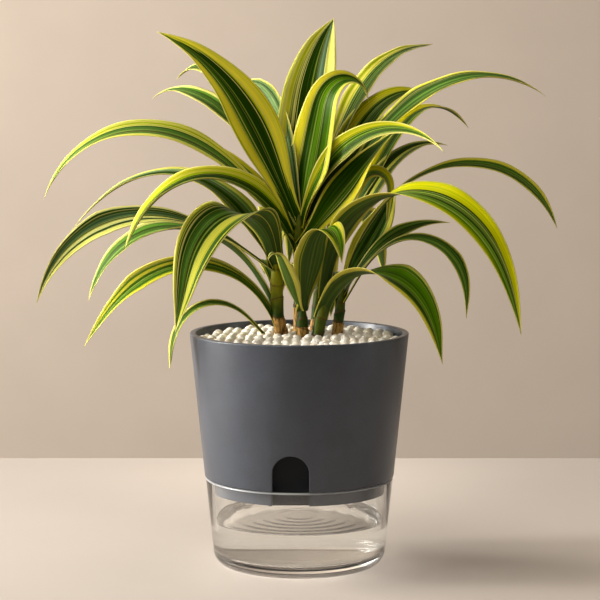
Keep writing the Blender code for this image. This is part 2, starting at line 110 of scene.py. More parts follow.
def pointAttribute(piece, name, values):
    # one vector of three numbers per point, for the materials
    made = piece.data.attributes.new(name, "FLOAT_VECTOR", "POINT")
    made.data.foreach_set("vector", np.asarray(values, dtype=np.float32).ravel())


def roundedProfile(corners, steps=8):
    # a line through (radius, height, rounding) corners, each replaced by an arc tangent to both sides
    line = []
    for i, (r, z, size) in enumerate(corners):
        here = np.array([r, z], dtype=float)
        if size == 0 or i in (0, len(corners) - 1):
            line.append(here)
            continue
        before = np.array(corners[i - 1][:2]) - here
        after = np.array(corners[i + 1][:2]) - here
        before = before / np.linalg.norm(before)
        after = after / np.linalg.norm(after)
        half = math.acos(np.clip(before @ after, -1, 1)) / 2
        middle = (before + after) / np.linalg.norm(before + after)
        centre = here + middle * size / math.sin(half)
        start = here + before * size / math.tan(half) - centre
        end = here + after * size / math.tan(half) - centre
        sweep = math.pi - 2 * half
        for k in range(steps + 1):
            a = sweep * k / steps
            line.append(centre + (start * math.sin(sweep - a) + end * math.sin(a)) / math.sin(sweep))
    return np.array(line)


def turnedPoints(profile, segments):
    # a profile turned round Z: x = r cos a, y = r sin a, one row per profile point
    angle = np.linspace(0, math.tau, segments, endpoint=False)[None, :]
    r, z = profile[:, 0:1], profile[:, 1:2]
    return np.stack([r * np.cos(angle), r * np.sin(angle), z + 0 * angle], axis=-1).reshape(-1, 3)


def turnedPiece(name, profile, segments, closedRing=False, sharpAngle=None):
    if closedRing:
        profile = np.vstack([profile, profile[:1]])
    faces = gridQuads(len(profile), segments).tolist()
    return meshPiece(name, turnedPoints(profile, segments), faces, mend=True, sharpAngle=sharpAngle)


def cutOrJoin(piece, other, operation):
    # an applied Boolean; the other object is used up
    modifier = piece.modifiers.new(operation.lower(), "BOOLEAN")
    modifier.operation = operation
    modifier.solver = "MANIFOLD"
    modifier.object = other
    bpy.context.view_layer.update()
    seen = piece.evaluated_get(bpy.context.evaluated_depsgraph_get())
    mesh = bpy.data.meshes.new_from_object(seen)
    piece.modifiers.clear()
    piece.data = mesh
    bpy.data.objects.remove(other)


# Glass reservoir and its water

glass = {
    "topRadius": 64.5, "footRadius": 58.3, "height": 60.8,
    "wall": 3.4, "floor": 8.0, "footRound": 10.0, "floorRound": 8.0, "rimRound": 1.1,
    "segments": 192,
    "tint": "#fefffe", "lampPass": 0.985, "groundHighlightDepth": 1.0,
}
water = {
    "top": 31.2, "meniscus": 0.8, "meniscusReach": 1.6, "meniscusPower": 2.4,
    "wallGap": -0.06,      # a hair into the glass, so that no film of air shows between them
    "ripple": 0.12, "rippleLength": 8.5, "calmRadius": 12.0,
    "tint": "#ffffff",
}


def glassRadius(z):
    return glass["footRadius"] + (glass["topRadius"] - glass["footRadius"]) * z / glass["height"]


def clearMaterial(name, ior, tint, roughness):
    # light from the lamps passes as through thin air, so that what stands behind isn't black
    mat, tree, shader = newMaterial(name, **{"Base Color": hexColour(tint), "Roughness": roughness,
                                             "IOR": ior, "Transmission Weight": 1.0})
    path = addNode(tree, "LightPath")
    through = addNode(tree, "BsdfTransparent", {"Color": (*[glass["lampPass"]] * 3, 1.0)})
    mixed = addNode(tree, "MixShader", {0: path.outputs["Is Shadow Ray"], 1: shader.outputs[0],
                                        2: through.outputs[0]})
    tree.links.new(mixed.outputs[0], tree.nodes["Material Output"].inputs["Surface"])
    return mat


def buildGlass():
    inner = glassRadius(glass["floor"]) - glass["wall"]
    profile = roundedProfile([
        (0, glass["floor"], 0),
        (inner, glass["floor"], glass["floorRound"]),
        (glass["topRadius"] - glass["wall"], glass["height"], glass["rimRound"]),
        (glass["topRadius"], glass["height"], glass["rimRound"]),
        (glass["footRadius"], 0, glass["footRound"]),
        (0, 0, 0)], steps=10)
    piece = turnedPiece("reservoirGlass", profile, glass["segments"])
    # soda-lime glass, pressed and fire polished: no grain, sharp reflections
    piece.data.materials.append(clearMaterial("pressedSodaLimeGlass", 1.52, glass["tint"], 0.0))
    # the rim that carries the pot is ground to a satin finish and made pale, a painted highlight that shows
    # as a bright line
    groundRimHighlight, _, _ = newMaterial("groundRimWithPaintedHighlight", **{"Base Color": hexColour("#cfd3d4"), "Roughness": 0.28,
                                                    "IOR": 1.52, "Transmission Weight": 0.5})
    piece.data.materials.append(groundRimHighlight)
    for face in piece.data.polygons:
        face.material_index = int(face.center.z > (glass["height"] - glass["groundHighlightDepth"]) * mm)
    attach(piece, "root")
    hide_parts("glass_reservoir")


def buildWater():
    gap = water["wallGap"]
    wallFoot = glassRadius(glass["floor"]) - glass["wall"] - gap
    wallTop = glassRadius(water["top"]) - glass["wall"] - gap
    # the surface climbs the glass by the meniscus, along a power of the nearness to the wall
    reach = np.linspace(0, 1, 8)
    edge = np.stack([wallTop - water["meniscusReach"] * (1 - reach),
                     water["top"] + water["meniscus"] * reach ** water["meniscusPower"]], axis=1)
    low = roundedProfile([(wallTop, water["top"], 0), (wallFoot, glass["floor"] + gap, glass["floorRound"]),
                          (0, glass["floor"] + gap, 0)], steps=10)
    # faint rings cross the surface, calm in the middle: the cosine of the radius over the ring length
    rings = np.linspace(0, wallTop - water["meniscusReach"], 90)[:-1]
    swell = water["ripple"] * smoothStep(rings / water["calmRadius"])
    flat = np.stack([rings, water["top"] + swell * np.cos(rings / water["rippleLength"] * math.tau)], axis=1)
    profile = np.vstack([flat, edge, low[1:]])
    piece = turnedPiece("reservoirWater", profile, glass["segments"], sharpAngle=50)
    piece.data.materials.append(clearMaterial("stillWater", 1.333, water["tint"], 0.0))
    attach(piece, "root")
    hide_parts("water")


# Pot with its arched fill notch

pot = {
    "top": 160.5, "topRadius": 75.0, "lipRound": 0.9, "lipWidth": 4.2,
    "skirt": 61.1, "skirtRadius": 64.9, "skirtRound": 1.3,
    "wallStep": 66.0, "boreRadius": 61.4,
    "collarBottom": 51.2, "collarPlay": 0.5, "collarWall": 2.9, "collarRound": 1.2,
    "floor": 3.0, "wellTop": 62.5,
    "drainRadius": 1.7, "drainRing": 30.0, "drainCount": 6, "drainPast": 5.0,
    "segments": 224,
    "colour": "#424852", "colourWarm": "#3b4049",
}
notch = {
    "x": -5.6, "half": 12.2, "top": 86.0, "back": -47.0, "wall": 2.4,
    "edgeRound": 0.7, "past": 12.0, "steps": 28, "hoodInside": 1.0,
    "frontDrop": -3.25, "backDrop": 2.5,      # of the chute's lower edge, from the collar's
}


def potRadius(z):
    share = (z - pot["skirt"]) / (pot["top"] - pot["skirt"])
    return pot["skirtRadius"] + (pot["topRadius"] - pot["skirtRadius"]) * share


def boreRadius(z):
    wider = pot["topRadius"] - pot["lipWidth"] - pot["boreRadius"]
    return pot["boreRadius"] + wider * (z - pot["wallStep"]) / (pot["top"] - pot["wallStep"])


def archOutline(half, top, bottom):
    # a half circle over two straight legs, from the right foot over the crown to the left foot
    angle = np.linspace(0, math.pi, notch["steps"] + 1)
    x = np.concatenate([[half], half * np.cos(angle), [-half]]) + notch["x"]
    z = np.concatenate([[bottom], top - half + half * np.sin(angle), [bottom]])
    return x, z


def archBlock(name, rings):
    # a closed block through rings of (x, y, z) points, one after another along Y
    count = len(rings[0])
    points = np.vstack(rings)
    faces = gridQuads(len(rings), count).tolist()
    faces.append(list(range(count)))
    faces.append(list(reversed(range(len(points) - count, len(points)))))
    return meshPiece(name, points, faces, mend=True)


def chuteHood(foot):
    half, top = notch["half"] + notch["wall"], notch["top"] + notch["wall"]
    # the lower edge slants down from the collar to the back, so that from the front the two line up
    rings = []
    rear = notch["back"] + notch["wall"]
    for y, drop in ((-pot["topRadius"], notch["frontDrop"]), (rear, notch["backDrop"])):
        x, z = archOutline(half, top, pot["collarBottom"] - drop)
        rings.append(np.stack([x, 0 * x + y, z], axis=1))
    hood = archBlock("chuteHood", rings)
    inside = notch["hoodInside"]
    envelope = turnedPiece("hoodEnvelope", np.array([
        (0, pot["top"]), (pot["topRadius"] - inside, pot["top"]),
        (pot["skirtRadius"] - inside, pot["skirt"] + inside), (foot - inside, pot["skirt"] + inside),
        (foot - inside, pot["collarBottom"] - notch["past"]), (0, pot["collarBottom"] - notch["past"])]),
        pot["segments"])
    cutOrJoin(hood, envelope, "INTERSECT")
    return hood


def notchCutter():
    # the notch's own section up to the edge, where a quarter circle flares it out to the wall's surface
    bottom = pot["collarBottom"] - notch["past"]
    size = notch["edgeRound"]
    x, z = archOutline(notch["half"], notch["top"], bottom)
    rings = [np.stack([x, 0 * x + notch["back"], z], axis=1)]
    for turn in np.radians(np.linspace(0, 90, 7)):
        wider = size - size * math.cos(turn)
        deeper = size - size * math.sin(turn)
        x, z = archOutline(notch["half"] + wider, notch["top"] + wider, bottom)
        surface = -np.sqrt(potRadius(z) ** 2 - x ** 2)
        rings.append(np.stack([x, surface + deeper, z], axis=1))
    rings.append(np.stack([x, 0 * x - pot["topRadius"] - notch["past"], z], axis=1))
    return archBlock("notchCutter", rings)


def mouldedPlastic(name, dimming):
    # polypropylene from a spark-eroded mould: matte, an even grain, drawn coarser than life so that it
    # shows, and faint cloudy flow marks
    # dimming scales the colour, the grain and the gloss down; below 1 it paints shade
    mat, tree, shader = newMaterial(name, **{"IOR": 1.49, "Specular IOR Level": 0.42 * dimming,
                                             "Coat Weight": 0.3 * dimming, "Coat Roughness": 0.2})
    place = addNode(tree, "TexCoord").outputs["Object"]
    cloud = addNode(tree, "TexNoise", {"Vector": place, "Scale": 45, "Detail": 4, "Roughness": 0.6})
    grain = addNode(tree, "TexNoise", {"Vector": place, "Scale": 1500, "Detail": 2})   # 0.7 mm, coarse
    tone = addNode(tree, "MapRange", {0: cloud.outputs[0], 1: 0.3, 2: 0.7, 3: 0.0, 4: 1.0})
    warm, cool = hexColour(pot["colourWarm"]), hexColour(pot["colour"])
    body = addNode(tree, "Mix", {0: tone.outputs[0], 6: warm, 7: cool}, data_type="RGBA")
    dark, light = 0.9 * dimming, 1.1 * dimming
    speck = addNode(tree, "MapRange", {0: grain.outputs[0], 1: 0.3, 2: 0.7, 3: dark, 4: light})
    shade = addNode(tree, "VectorMath", {0: body.outputs[2], 1: speck.outputs[0]}, operation="MULTIPLY")
    tree.links.new(shade.outputs[0], shader.inputs["Base Color"])
    rough = addNode(tree, "MapRange", {0: cloud.outputs[0], 1: 0.3, 2: 0.7, 3: 0.42, 4: 0.50})
    tree.links.new(rough.outputs[0], shader.inputs["Roughness"])
    bump = addNode(tree, "Bump", {"Strength": 0.25, "Distance": 0.0002, "Height": grain.outputs[0]})
    tree.links.new(bump.outputs[0], shader.inputs["Normal"])
    return mat


def buildPot():
    collarTop = glassRadius(pot["skirt"]) - glass["wall"] - pot["collarPlay"]
    foot = glassRadius(pot["collarBottom"]) - glass["wall"] - pot["collarPlay"]
    well = foot - pot["collarWall"]
    floorTop = pot["collarBottom"] + pot["floor"]
    profile = roundedProfile([
        (0, pot["collarBottom"], 0),
        (foot, pot["collarBottom"], pot["collarRound"]),
        (collarTop, pot["skirt"], 0.15),
        (pot["skirtRadius"], pot["skirt"], pot["skirtRound"]),
        (pot["topRadius"], pot["top"], pot["lipRound"]),
        (pot["topRadius"] - pot["lipWidth"], pot["top"], 0.9),
        (pot["boreRadius"], pot["wallStep"], 1.5),
        (well, pot["wellTop"], 1.0),
        (well, floorTop, pot["collarRound"]),
        (0, floorTop, 0)], steps=6)
    piece = turnedPiece("planterPot", profile, pot["segments"])
    cutOrJoin(piece, chuteHood(foot), "UNION")
    cutOrJoin(piece, notchCutter(), "DIFFERENCE")
    # one centre hole and a ring of outer ones drain the soil into the reservoir
    turns = (np.arange(pot["drainCount"]) + 0.5) * math.tau / pot["drainCount"]
    centres = [(0.0, 0.0)] + [(pot["drainRing"] * math.cos(a), pot["drainRing"] * math.sin(a)) for a in turns]
    radius, above = pot["drainRadius"], floorTop + pot["drainPast"]
    below = pot["collarBottom"] - pot["drainPast"]
    for x, y in centres:
        drain = turnedPiece("drain", np.array([(0, above), (radius, above), (radius, below), (0, below)]), 20)
        places = np.array([v.co for v in drain.data.vertices]) + np.array([x, y, 0]) * mm
        drain.data.vertices.foreach_set("co", places.ravel())
        cutOrJoin(piece, drain, "DIFFERENCE")
    piece.data.shade_smooth()
    piece.data.set_sharp_from_angle(angle=math.radians(35))
    piece.data.materials.clear()
    piece.data.materials.append(mouldedPlastic("mattePolypropylene", 1.0))
    # painted shade: the chute's walls lie inside the notch, behind the pot's outer skin, and get the pot's
    # plastic dimmed to about a third as their shade
    piece.data.materials.append(mouldedPlastic("shadedChutePolypropylene", 0.35))
    for face in piece.data.polygons:
        x, y, z = face.center / mm
        beside = abs(x - notch["x"]) < notch["half"] + 0.6 and z < notch["top"] + 0.6
        inside = math.hypot(x, y) < potRadius(z) - 1.2 and y < notch["back"] + 0.6
        face.material_index = int(beside and inside)
    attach(piece, "root")
    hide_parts("planter_pot")


# Soil under the pebbles

def buildSoil():
    # damp peat with bark crumbs: dark, rough, clotted at 2 to 6 mm
    mat, tree, shader = newMaterial("dampPeat", **{"Roughness": 0.95})
    place = addNode(tree, "TexCoord").outputs["Object"]
    clots = addNode(tree, "TexNoise", {"Vector": place, "Scale": 260, "Detail": 6, "Roughness": 0.65})
    colour = addNode(tree, "Mix", {0: clots.outputs[0], 6: hexColour("#1d140d"), 7: hexColour("#4a3423")},
                     data_type="RGBA")
    tree.links.new(colour.outputs[2], shader.inputs["Base Color"])
    bump = addNode(tree, "Bump", {"Strength": 0.9, "Distance": 0.002, "Height": clots.outputs[0]})
    tree.links.new(bump.outputs[0], shader.inputs["Normal"])
    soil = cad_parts["potting_soil"]
    soil.data.materials.clear()
    soil.data.materials.append(mat)


# Pebbles

pebbles = {
    "layers": ((151.0, 7.3), (154.2, 7.5)),     # height of the centres, pitch
    "size": 3.65, "spread": 0.26, "flatness": 0.90,
    "edgeGap": 0.3, "mound": 1.0, "seed": 11,
    "jitter": (0.9, 0.9, 0.35), "rounds": 24, "nearest": 1.86,     # in steps of the size
    "lowest": 150.6, "highest": 155.4,
    "darkeningHeight": 151.0, "darkeningReach": 4.5,      # the stones are darker below this height, evenly coloured by this much higher
    "light": "#f4eee2", "warm": "#e2d2b6", "dark": "#a8967a",
}


def pebbleCentres(feet):
    # jittered hexagonal layers, then pairs that lie too close push each other apart
    draw = np.random.default_rng(pebbles["seed"])
    inside = boreRadius(152) - pebbles["edgeGap"] - pebbles["size"]
    layers = []
    for level, (height, pitch) in enumerate(pebbles["layers"]):
        row, column = np.meshgrid(np.arange(-13, 14), np.arange(-13, 14), indexing="ij")
        x = ((column + 0.5 * (row % 2)) * pitch).ravel()
        y = (row * pitch * math.sqrt(0.75)).ravel()
        turn = 0.6 + 0.9 * level
        spot = np.stack([x * math.cos(turn) - y * math.sin(turn), x * math.sin(turn) + y * math.cos(turn),
                         0 * x + height], axis=1)
        spot += draw.normal(0, 1, spot.shape) * pebbles["jitter"]
        layers.append(spot[np.hypot(spot[:, 0], spot[:, 1]) < inside])
    centres = np.vstack(layers)
    for _ in range(pebbles["rounds"]):
        apart = centres[:, None] - centres[None]
        distance = np.linalg.norm(apart, axis=-1) + np.eye(len(centres)) * 100
        push = np.clip(pebbles["size"] * pebbles["nearest"] - distance, 0, None) / 2
        centres += ((apart / distance[..., None]) * push[..., None]).sum(axis=1) * [0.8, 0.8, 0.25]
        for x, y, radius in feet:
            away = centres[:, :2] - [x, y]
            far = np.hypot(*away.T)
            need = np.clip(radius + pebbles["size"] * 0.95 - far, 0, None)
            centres[:, :2] += away / far[:, None] * need[:, None]
        reach = np.hypot(centres[:, 0], centres[:, 1])
        centres[:, :2] *= np.minimum(1, inside / reach)[:, None]
    centres[:, 2] = np.clip(centres[:, 2], pebbles["lowest"], pebbles["highest"])
    reach = np.hypot(centres[:, 0], centres[:, 1]) / inside
    centres[:, 2] += pebbles["mound"] * (1 - reach ** 2)
    return centres, draw


def pebbleMaterial():
    # tumbled white quartz and marble: matte, cream to beige, darker low in the bed
    mat, tree, shader = newMaterial("tumbledWhiteStone", **{"IOR": 1.54, "Roughness": 0.62})
    place = addNode(tree, "TexCoord").outputs["Object"]
    tone = addNode(tree, "Attribute", attribute_name="stoneTone")
    split = addNode(tree, "SeparateXYZ", {0: tone.outputs["Vector"]})
    veins = addNode(tree, "TexNoise", {"Vector": place, "Scale": 420, "Detail": 5, "Roughness": 0.65})
    warm = addNode(tree, "Math", {0: split.outputs[0], 1: veins.outputs[0]}, operation="MULTIPLY")
    white, beige = hexColour(pebbles["light"]), hexColour(pebbles["warm"])
    body = addNode(tree, "Mix", {0: warm.outputs[0], 6: white, 7: beige}, data_type="RGBA")
    lowDarkening = addNode(tree, "MapRange", {0: split.outputs[1], 1: 0.0, 2: 1.0, 3: 0.75, 4: 0.0})
    final = addNode(tree, "Mix", {0: lowDarkening.outputs[0], 6: body.outputs[2], 7: hexColour(pebbles["dark"])},
                    data_type="RGBA")
    tree.links.new(final.outputs[2], shader.inputs["Base Color"])
    bump = addNode(tree, "Bump", {"Strength": 0.35, "Distance": 0.0004, "Height": veins.outputs[0]})
    tree.links.new(bump.outputs[0], shader.inputs["Normal"])
    return mat


def buildPebbles(feet):
    centres, draw = pebbleCentres(feet)
    shape = bmesh.new()
    bmesh.ops.create_icosphere(shape, subdivisions=2, radius=1.0)
    ball = np.array([v.co for v in shape.verts])
    triangles = np.array([[v.index for v in f.verts] for f in shape.faces])
    shape.free()
    count = len(centres)
    radii = pebbles["size"] * (1 + draw.normal(0, 0.5, (count, 3)) * pebbles["spread"] * 0.5)
    radii = np.clip(radii, pebbles["size"] * 0.8, pebbles["size"] * 1.2) * [1, 1, pebbles["flatness"]]
    # each stone is a ball whose radius swells and sinks by two slow waves, then scaled, tilted and turned
    wave = draw.normal(0, 1.6, (count, 2, 3))
    phase = draw.uniform(0, math.tau, (count, 2, 1))
    swell = 1 + 0.035 * np.sin(np.einsum("cwk,vk->cwv", wave, ball) + phase).sum(axis=1)
    local = ball[None] * swell[..., None] * radii[:, None]
    tilt = draw.normal(0, 0.35, count)
    turn = draw.uniform(0, math.tau, count)
    y = local[..., 1] * np.cos(tilt)[:, None] - local[..., 2] * np.sin(tilt)[:, None]
    z = local[..., 1] * np.sin(tilt)[:, None] + local[..., 2] * np.cos(tilt)[:, None]
    x = local[..., 0] * np.cos(turn)[:, None] - y * np.sin(turn)[:, None]
    y = local[..., 0] * np.sin(turn)[:, None] + y * np.cos(turn)[:, None]
    points = np.stack([x, y, z], axis=-1) + centres[:, None]
    faces = (triangles[None] + (np.arange(count) * len(ball))[:, None, None]).reshape(-1, 3)
    piece = meshPiece("dressingPebbles", points.reshape(-1, 3), faces.tolist())
    warmth = np.repeat(draw.uniform(0, 1, count) ** 1.5, len(ball))
    height = np.clip((points[..., 2].ravel() - pebbles["darkeningHeight"]) / pebbles["darkeningReach"], 0, 1)
    pointAttribute(piece, "stoneTone", np.stack([warmth, height, 0 * height], axis=1))
    piece.data.materials.append(pebbleMaterial())
    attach(piece, "root")
    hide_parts("pebble_bed")


# Leaves

# Height of the root, heading, length, slope at the root, slope at the tip, middle and spread of the bend,
# sweep of the heading, width, roll at the root, roll at the tip. These are the leaves of the solids. Those
# that show in the photograph are drawn to its outlines, with their middle lines within 15 mm of the solids',
# and K2, K6, K8, K9 and K10 at the back are turned, so that their tips don't show from the front.
leafForms = {
    "stem_tall": {
        "L1": (231, 173, 174.3, 67.3, -24.8, 0.958, 1.44, -12.5, 34.3, 77.8, 33.8),
        "L2": (233, 152, 178, 63, -95, 0.90, 1.05, -30, 24, 40, 30),
        "L3": (231.8, 145.1, 197, 56.9, -65.6, 0.844, 1.53, -28.3, 16.4, 6.6, 27.4),
        "U4": (234, 116.3, 167.5, 75, -7.8, 0.570, 0.96, -11.4, 16.1, 36, 93.5),
        "U1": (240.3, 74, 153.4, 76.2, 29.4, 0.768, 1.06, -14, 40, 0.2, -16.4),
        "U2": (230.4, 39.6, 220.5, 61, 3.2, 0.609, 0.63, 27.9, 23.6, 17.9, -14.6),
        "U3": (231.2, 5.9, 141.6, 78.9, -102, 0.830, 0.54, 30.4, 41.9, -31.1, -36.5),
        "R3": (223.1, -24.1, 164.9, 84.8, -61.7, 0.631, 1.54, -27.4, 16.5, -77.8, -95),
        "R12": (218, -7.5, 105, 52.4, 9.1, 1.090, 0.99, -1.9, 24.5, -95, -26.1),
        "R1": (224, 3.4, 225.8, 52.9, -94.5, 0.909, 1.27, 16.8, 28.1, -14.9, -16.8),
        "R1b": (232, 24, 147, 56, -90, 0.97, 0.98, 7, 24, -40, -30),
        "L4": (220.4, 183.6, 229, 51, -95.9, 0.730, 1.22, -18.4, 19, 45, 31.6),
        "L4b": (222, 176, 112, 51, -12, 0.90, 1.30, -10, 19, 45, 35),
        "L6": (209.6, 208.1, 182.7, 75.1, -84.8, 0.571, 1.44, 10.2, 28.1, 59.2, -18.8),
        "K1": (230, 88, 176, 62, -70, 0.72, 1.20, 6, 27, 0, 5),
        "K2": (228, 98, 172, 60, -80, 0.68, 1.20, 6, 25, 5, 10),
        "K3": (226, 66, 182, 60, -76, 0.68, 1.20, -6, 25, -5, -10),
    },
    "stem_left": {
        "L5": (204.0, 159.3, 194.6, 61.9, -52.5, 0.530, 1.04, 12.4, 27.1, 14.8, 17.5),
        "L8": (201.1, 190.5, 202.5, 37.1, -96, 0.696, 1.33, 19.7, 21.1, 9.5, 56),
        "L9": (172.9, 175.7, 184.6, 67.5, -86.4, 0.582, 1.26, -1.4, 25.5, -36.9, 43.5),
        "L10": (153.1, 196.8, 189.4, 90.4, -57.5, 0.394, 1.26, 7.9, 17.3, 59.3, 26.1),
        "L11": (204.2, 235.2, 164.7, 82.9, -78, 0.374, 0.89, -66.2, 39.8, -26.3, 69.8),
        "L12": (156, 205.6, 110.2, 47.3, -86.7, 0.537, 0.90, -8.7, 8.3, 61.8, 0.8),
        "K8": (200, 92, 150, 56, -80, 0.58, 1.15, 0, 23, 5, 10),
        "K9": (182, 98, 84, 52, -44, 0.55, 1.10, 0, 17, 5, 10),
    },
    "stem_front": {
        "R10": (175, -60, 104, 69, -76, 0.70, 0.50, 2, 31, 0, -20),
        "R11": (173, -132, 60, 63, -90, 0.89, 0.36, -11, 15, 0, 0),
    },
    "stem_front_right": {
        "R6": (184.4, -34, 244.8, 97.6, -80.2, 0.420, 1.18, 23.2, 29.1, 33.1, -81.4),
        "R9": (170.6, -32.7, 144.2, 82.3, -78.5, 0.395, 1.12, 31.1, 35.7, 28.4, -49.8),
    },
    "stem_right": {
        "R5": (187.8, 3.1, 224.8, 82.7, -101.5, 0.654, 1.61, 32.6, 11.8, 28.4, -65.7),
        "R7": (176, -7.7, 149.7, 60.3, -94.2, 0.569, 0.90, -12.9, 14.9, -0.8, -32.9),
        "R8": (183.8, 14.7, 102.3, 58.6, -18.7, 0.652, 1.25, 15, 11.1, -18.1, -51.5),
        "BR6": (183, 62, 121, 69, 31, 0.10, 0.44, 11, 22, -20, -20),
        "K10": (172, 92, 108, 54, -85, 0.55, 1.15, 6, 20, -5, -10),
    },
    "stem_back": {
        "R2": (206, 42, 215, 52, -33, 0.71, 0.63, 15, 16, -10, -10),
        "R4": (202.6, 29.5, 146.9, 52.4, -16.6, 0.768, 0.63, 10.3, 17.8, -13.9, -16.2),
        "R13": (207, 5, 117, 65, -95, 0.65, 0.35, -3, 20, -25, -25),
        "K4": (206, 100, 160, 48, -82, 0.58, 1.10, 6, 25, 0, 5),
        "K5": (203, 70, 170, 44, -82, 0.58, 1.15, -6, 24, 0, -5),
        "K6": (198, 112, 116, 46, -56, 0.56, 1.15, 4, 20, 5, 5),
        "K7": (190, 86, 140, 34, -88, 0.52, 1.10, 6, 21, 0, 5),
        "K11": (184, 114, 104, 40, -86, 0.55, 1.05, 0, 17, 5, 5),
    },
}
leafShape = {
    "stations": 72, "across": 17, "spineSteps": 240,
    "baseShare": 0.31, "narrowTo": 0.05, "widest": 0.47, "taperPower": 1.85, "tipHalf": 0.12,
    "channel": 0.25, "thick": 0.8, "edgeThick": 0.35,
    "midribDepth": 0.3, "midribReach": 0.07,
    "waveHeight": 0.4, "waveLength": 42.0,
    "stalkShare": 0.26, "stalkBorder": 0.9, "stripeHalf": 0.15, "stripeFrom": 0.25,
    "tipShare": 0.3, "tipNarrow": 0.15,
    "seed": 3,
}
# How each leaf of the photograph is striped: where the green starts and ends across the blade (-1 to 1),
# how light the green is, how yellow and how pale the margins are, how much painted blue-grey sheen it has
# (0 to 1), and where a pale stripe runs in the green (2 for none). Leaves that aren't named draw their own.
leafBands = {
    "L1": (-0.52, 0.48, 0.14, 1.00, 0.10, 0.00, 2),
    "L2": (-0.70, 0.70, 0.30, 0.45, 0.30, 0.10, 2),
    "L3": (-0.70, 0.66, 0.20, 0.40, 0.42, 0.10, 2),
    "L4": (-0.56, 0.40, 0.10, 0.40, 0.28, 0.10, 2),
    "L4b": (-0.70, 0.70, 0.20, 0.60, 0.10, 0.20, 2),
    "L5": (-0.66, 0.74, 0.26, 0.75, 0.35, 0.45, 2),
    "L6": (-0.80, 0.50, 0.16, 0.45, 0.15, 0.00, 0.70),
    "L8": (-0.52, 0.90, 0.16, 0.30, 0.58, 0.30, -0.05),
    "L9": (-0.86, 0.84, 0.20, 0.32, 0.35, 0.10, 2),
    "L10": (-0.66, 0.70, 0.18, 0.90, 0.10, 0.05, 0.40),
    "L11": (-0.90, 0.84, 0.40, 0.62, 0.12, 0.10, -0.42),
    "L12": (-0.62, 0.70, 0.25, 0.70, 0.10, 0.10, 2),
    "U1": (-0.64, 0.50, 0.14, 0.70, 0.34, 0.50, -0.50),
    "U2": (-0.30, 0.90, 0.08, 0.80, 0.25, 0.12, 2),
    "U3": (-0.60, 0.74, 0.38, 1.00, 0.08, 0.00, 2),
    "U4": (-0.80, 0.80, 0.20, 0.80, 0.20, 0.35, 2),
    "R1": (-0.86, 0.56, 0.16, 0.85, 0.10, 0.12, 2),
    "R1b": (-0.30, 0.84, 0.22, 0.70, 0.05, 0.15, 2),
    "R2": (-0.20, 0.88, 0.15, 0.70, 0.00, 0.10, 2),
    "R3": (-0.40, 0.90, 0.12, 0.60, 0.05, 0.00, 2),
    "R4": (-0.82, 0.84, 0.12, 0.70, 0.30, 0.30, 0.08),
    "R5": (-0.62, 0.76, 0.14, 0.80, 0.10, 0.05, 2),
    "R6": (-0.38, 0.76, 0.08, 0.45, 0.00, 0.00, 2),
    "R7": (-0.86, 0.84, 0.22, 0.60, 0.00, 0.05, 2),
    "R8": (-0.86, 0.84, 0.12, 0.60, 0.15, 0.10, 2),
    "R9": (-0.90, 0.62, 0.38, 0.90, 0.15, 0.00, 2),
    "R10": (-0.55, 0.80, 0.30, 0.60, 0.10, 0.00, 2),
    "R11": (-0.55, 0.60, 0.30, 0.80, 0.30, 0.10, 2),
    "R12": (-0.84, 0.55, 0.10, 0.80, 0.05, 0.00, 2),
    "R13": (-0.36, 0.40, 0.15, 0.75, 0.00, 0.05, 2),
}
# Where along its length a leaf is widest, and the power by which its edges close on the tip.
leafTapers = {
    "R1": (0.58, 0.94), "R5": (0.75, 2.58), "R6": (0.31, 1.82), "R7": (0.72, 0.90), "R8": (0.62, 0.90),
    "R4": (0.44, 2.15), "R3": (0.45, 0.90), "R12": (0.50, 1.85), "L4": (0.51, 1.77), "L3": (0.65, 0.92),
    "L6": (0.30, 3.17), "L5": (0.25, 0.91), "L8": (0.65, 0.93), "L9": (0.65, 0.91), "L1": (0.46, 1.48),
    "U1": (0.35, 2.42), "U3": (0.31, 1.33), "U2": (0.49, 1.13), "U4": (0.62, 0.90), "L11": (0.39, 1.39),
    "R10": (0.42, 1.20), "R9": (0.52, 0.90), "L10": (0.71, 0.90), "L12": (0.75, 3.15),
}
# Half widths of the pale stripes, and how far the green moves across at the tip, where they aren't the usual.
leafStripes = {"U1": 0.06}
leafTipShifts = {"R10": -0.4, "L1": -0.40, "U1": 0.15, "U2": -0.2, "R6": 0.2, "L4": 0.2}
# How far a leaf's root stands from the middle of its cane.
leafRoots = {
    "L12": (-10.0, -2.0, 0.0), "U3": (-1.0, 0.5, 0.0), "U1": (0.0, 5.0, -0.5), "R12": (0.0, -5.5, 0.5),
}
# Share of the length over which a leaf's foot stays green, where it isn't the usual one.
leafStalks = {"R10": 0.08, "R11": 0.10, "L11": 0.40, "R6": 0.34, "R9": 0.34, "L10": 0.36, "L9": 0.36}


def leafSpine(root, form):
    # The slope eases from one value to the other round the bend, and the heading turns by the sweep.
    # Adding up the steps gives the middle line.
    _, heading, length, rise, fall, bend, spread, sweep = form[:8]
    steps = leafShape["spineSteps"]
    fine = np.linspace(0, 1, steps + 1)
    slope = np.radians(rise + (fall - rise) * smoothStep((fine - bend + spread / 2) / spread))
    turn = np.radians(heading + sweep * fine ** 2)
    ahead = np.stack([np.cos(slope) * np.cos(turn), np.cos(slope) * np.sin(turn), np.sin(slope)], axis=1)
    spine = np.zeros_like(ahead)
    spine[1:] = np.cumsum((ahead[1:] + ahead[:-1]) / 2, axis=0) * length / steps
    pick = np.linspace(0, steps, leafShape["stations"]).round().astype(int)
    return fine[pick], (spine + np.asarray(root))[pick], ahead[pick], turn[pick]


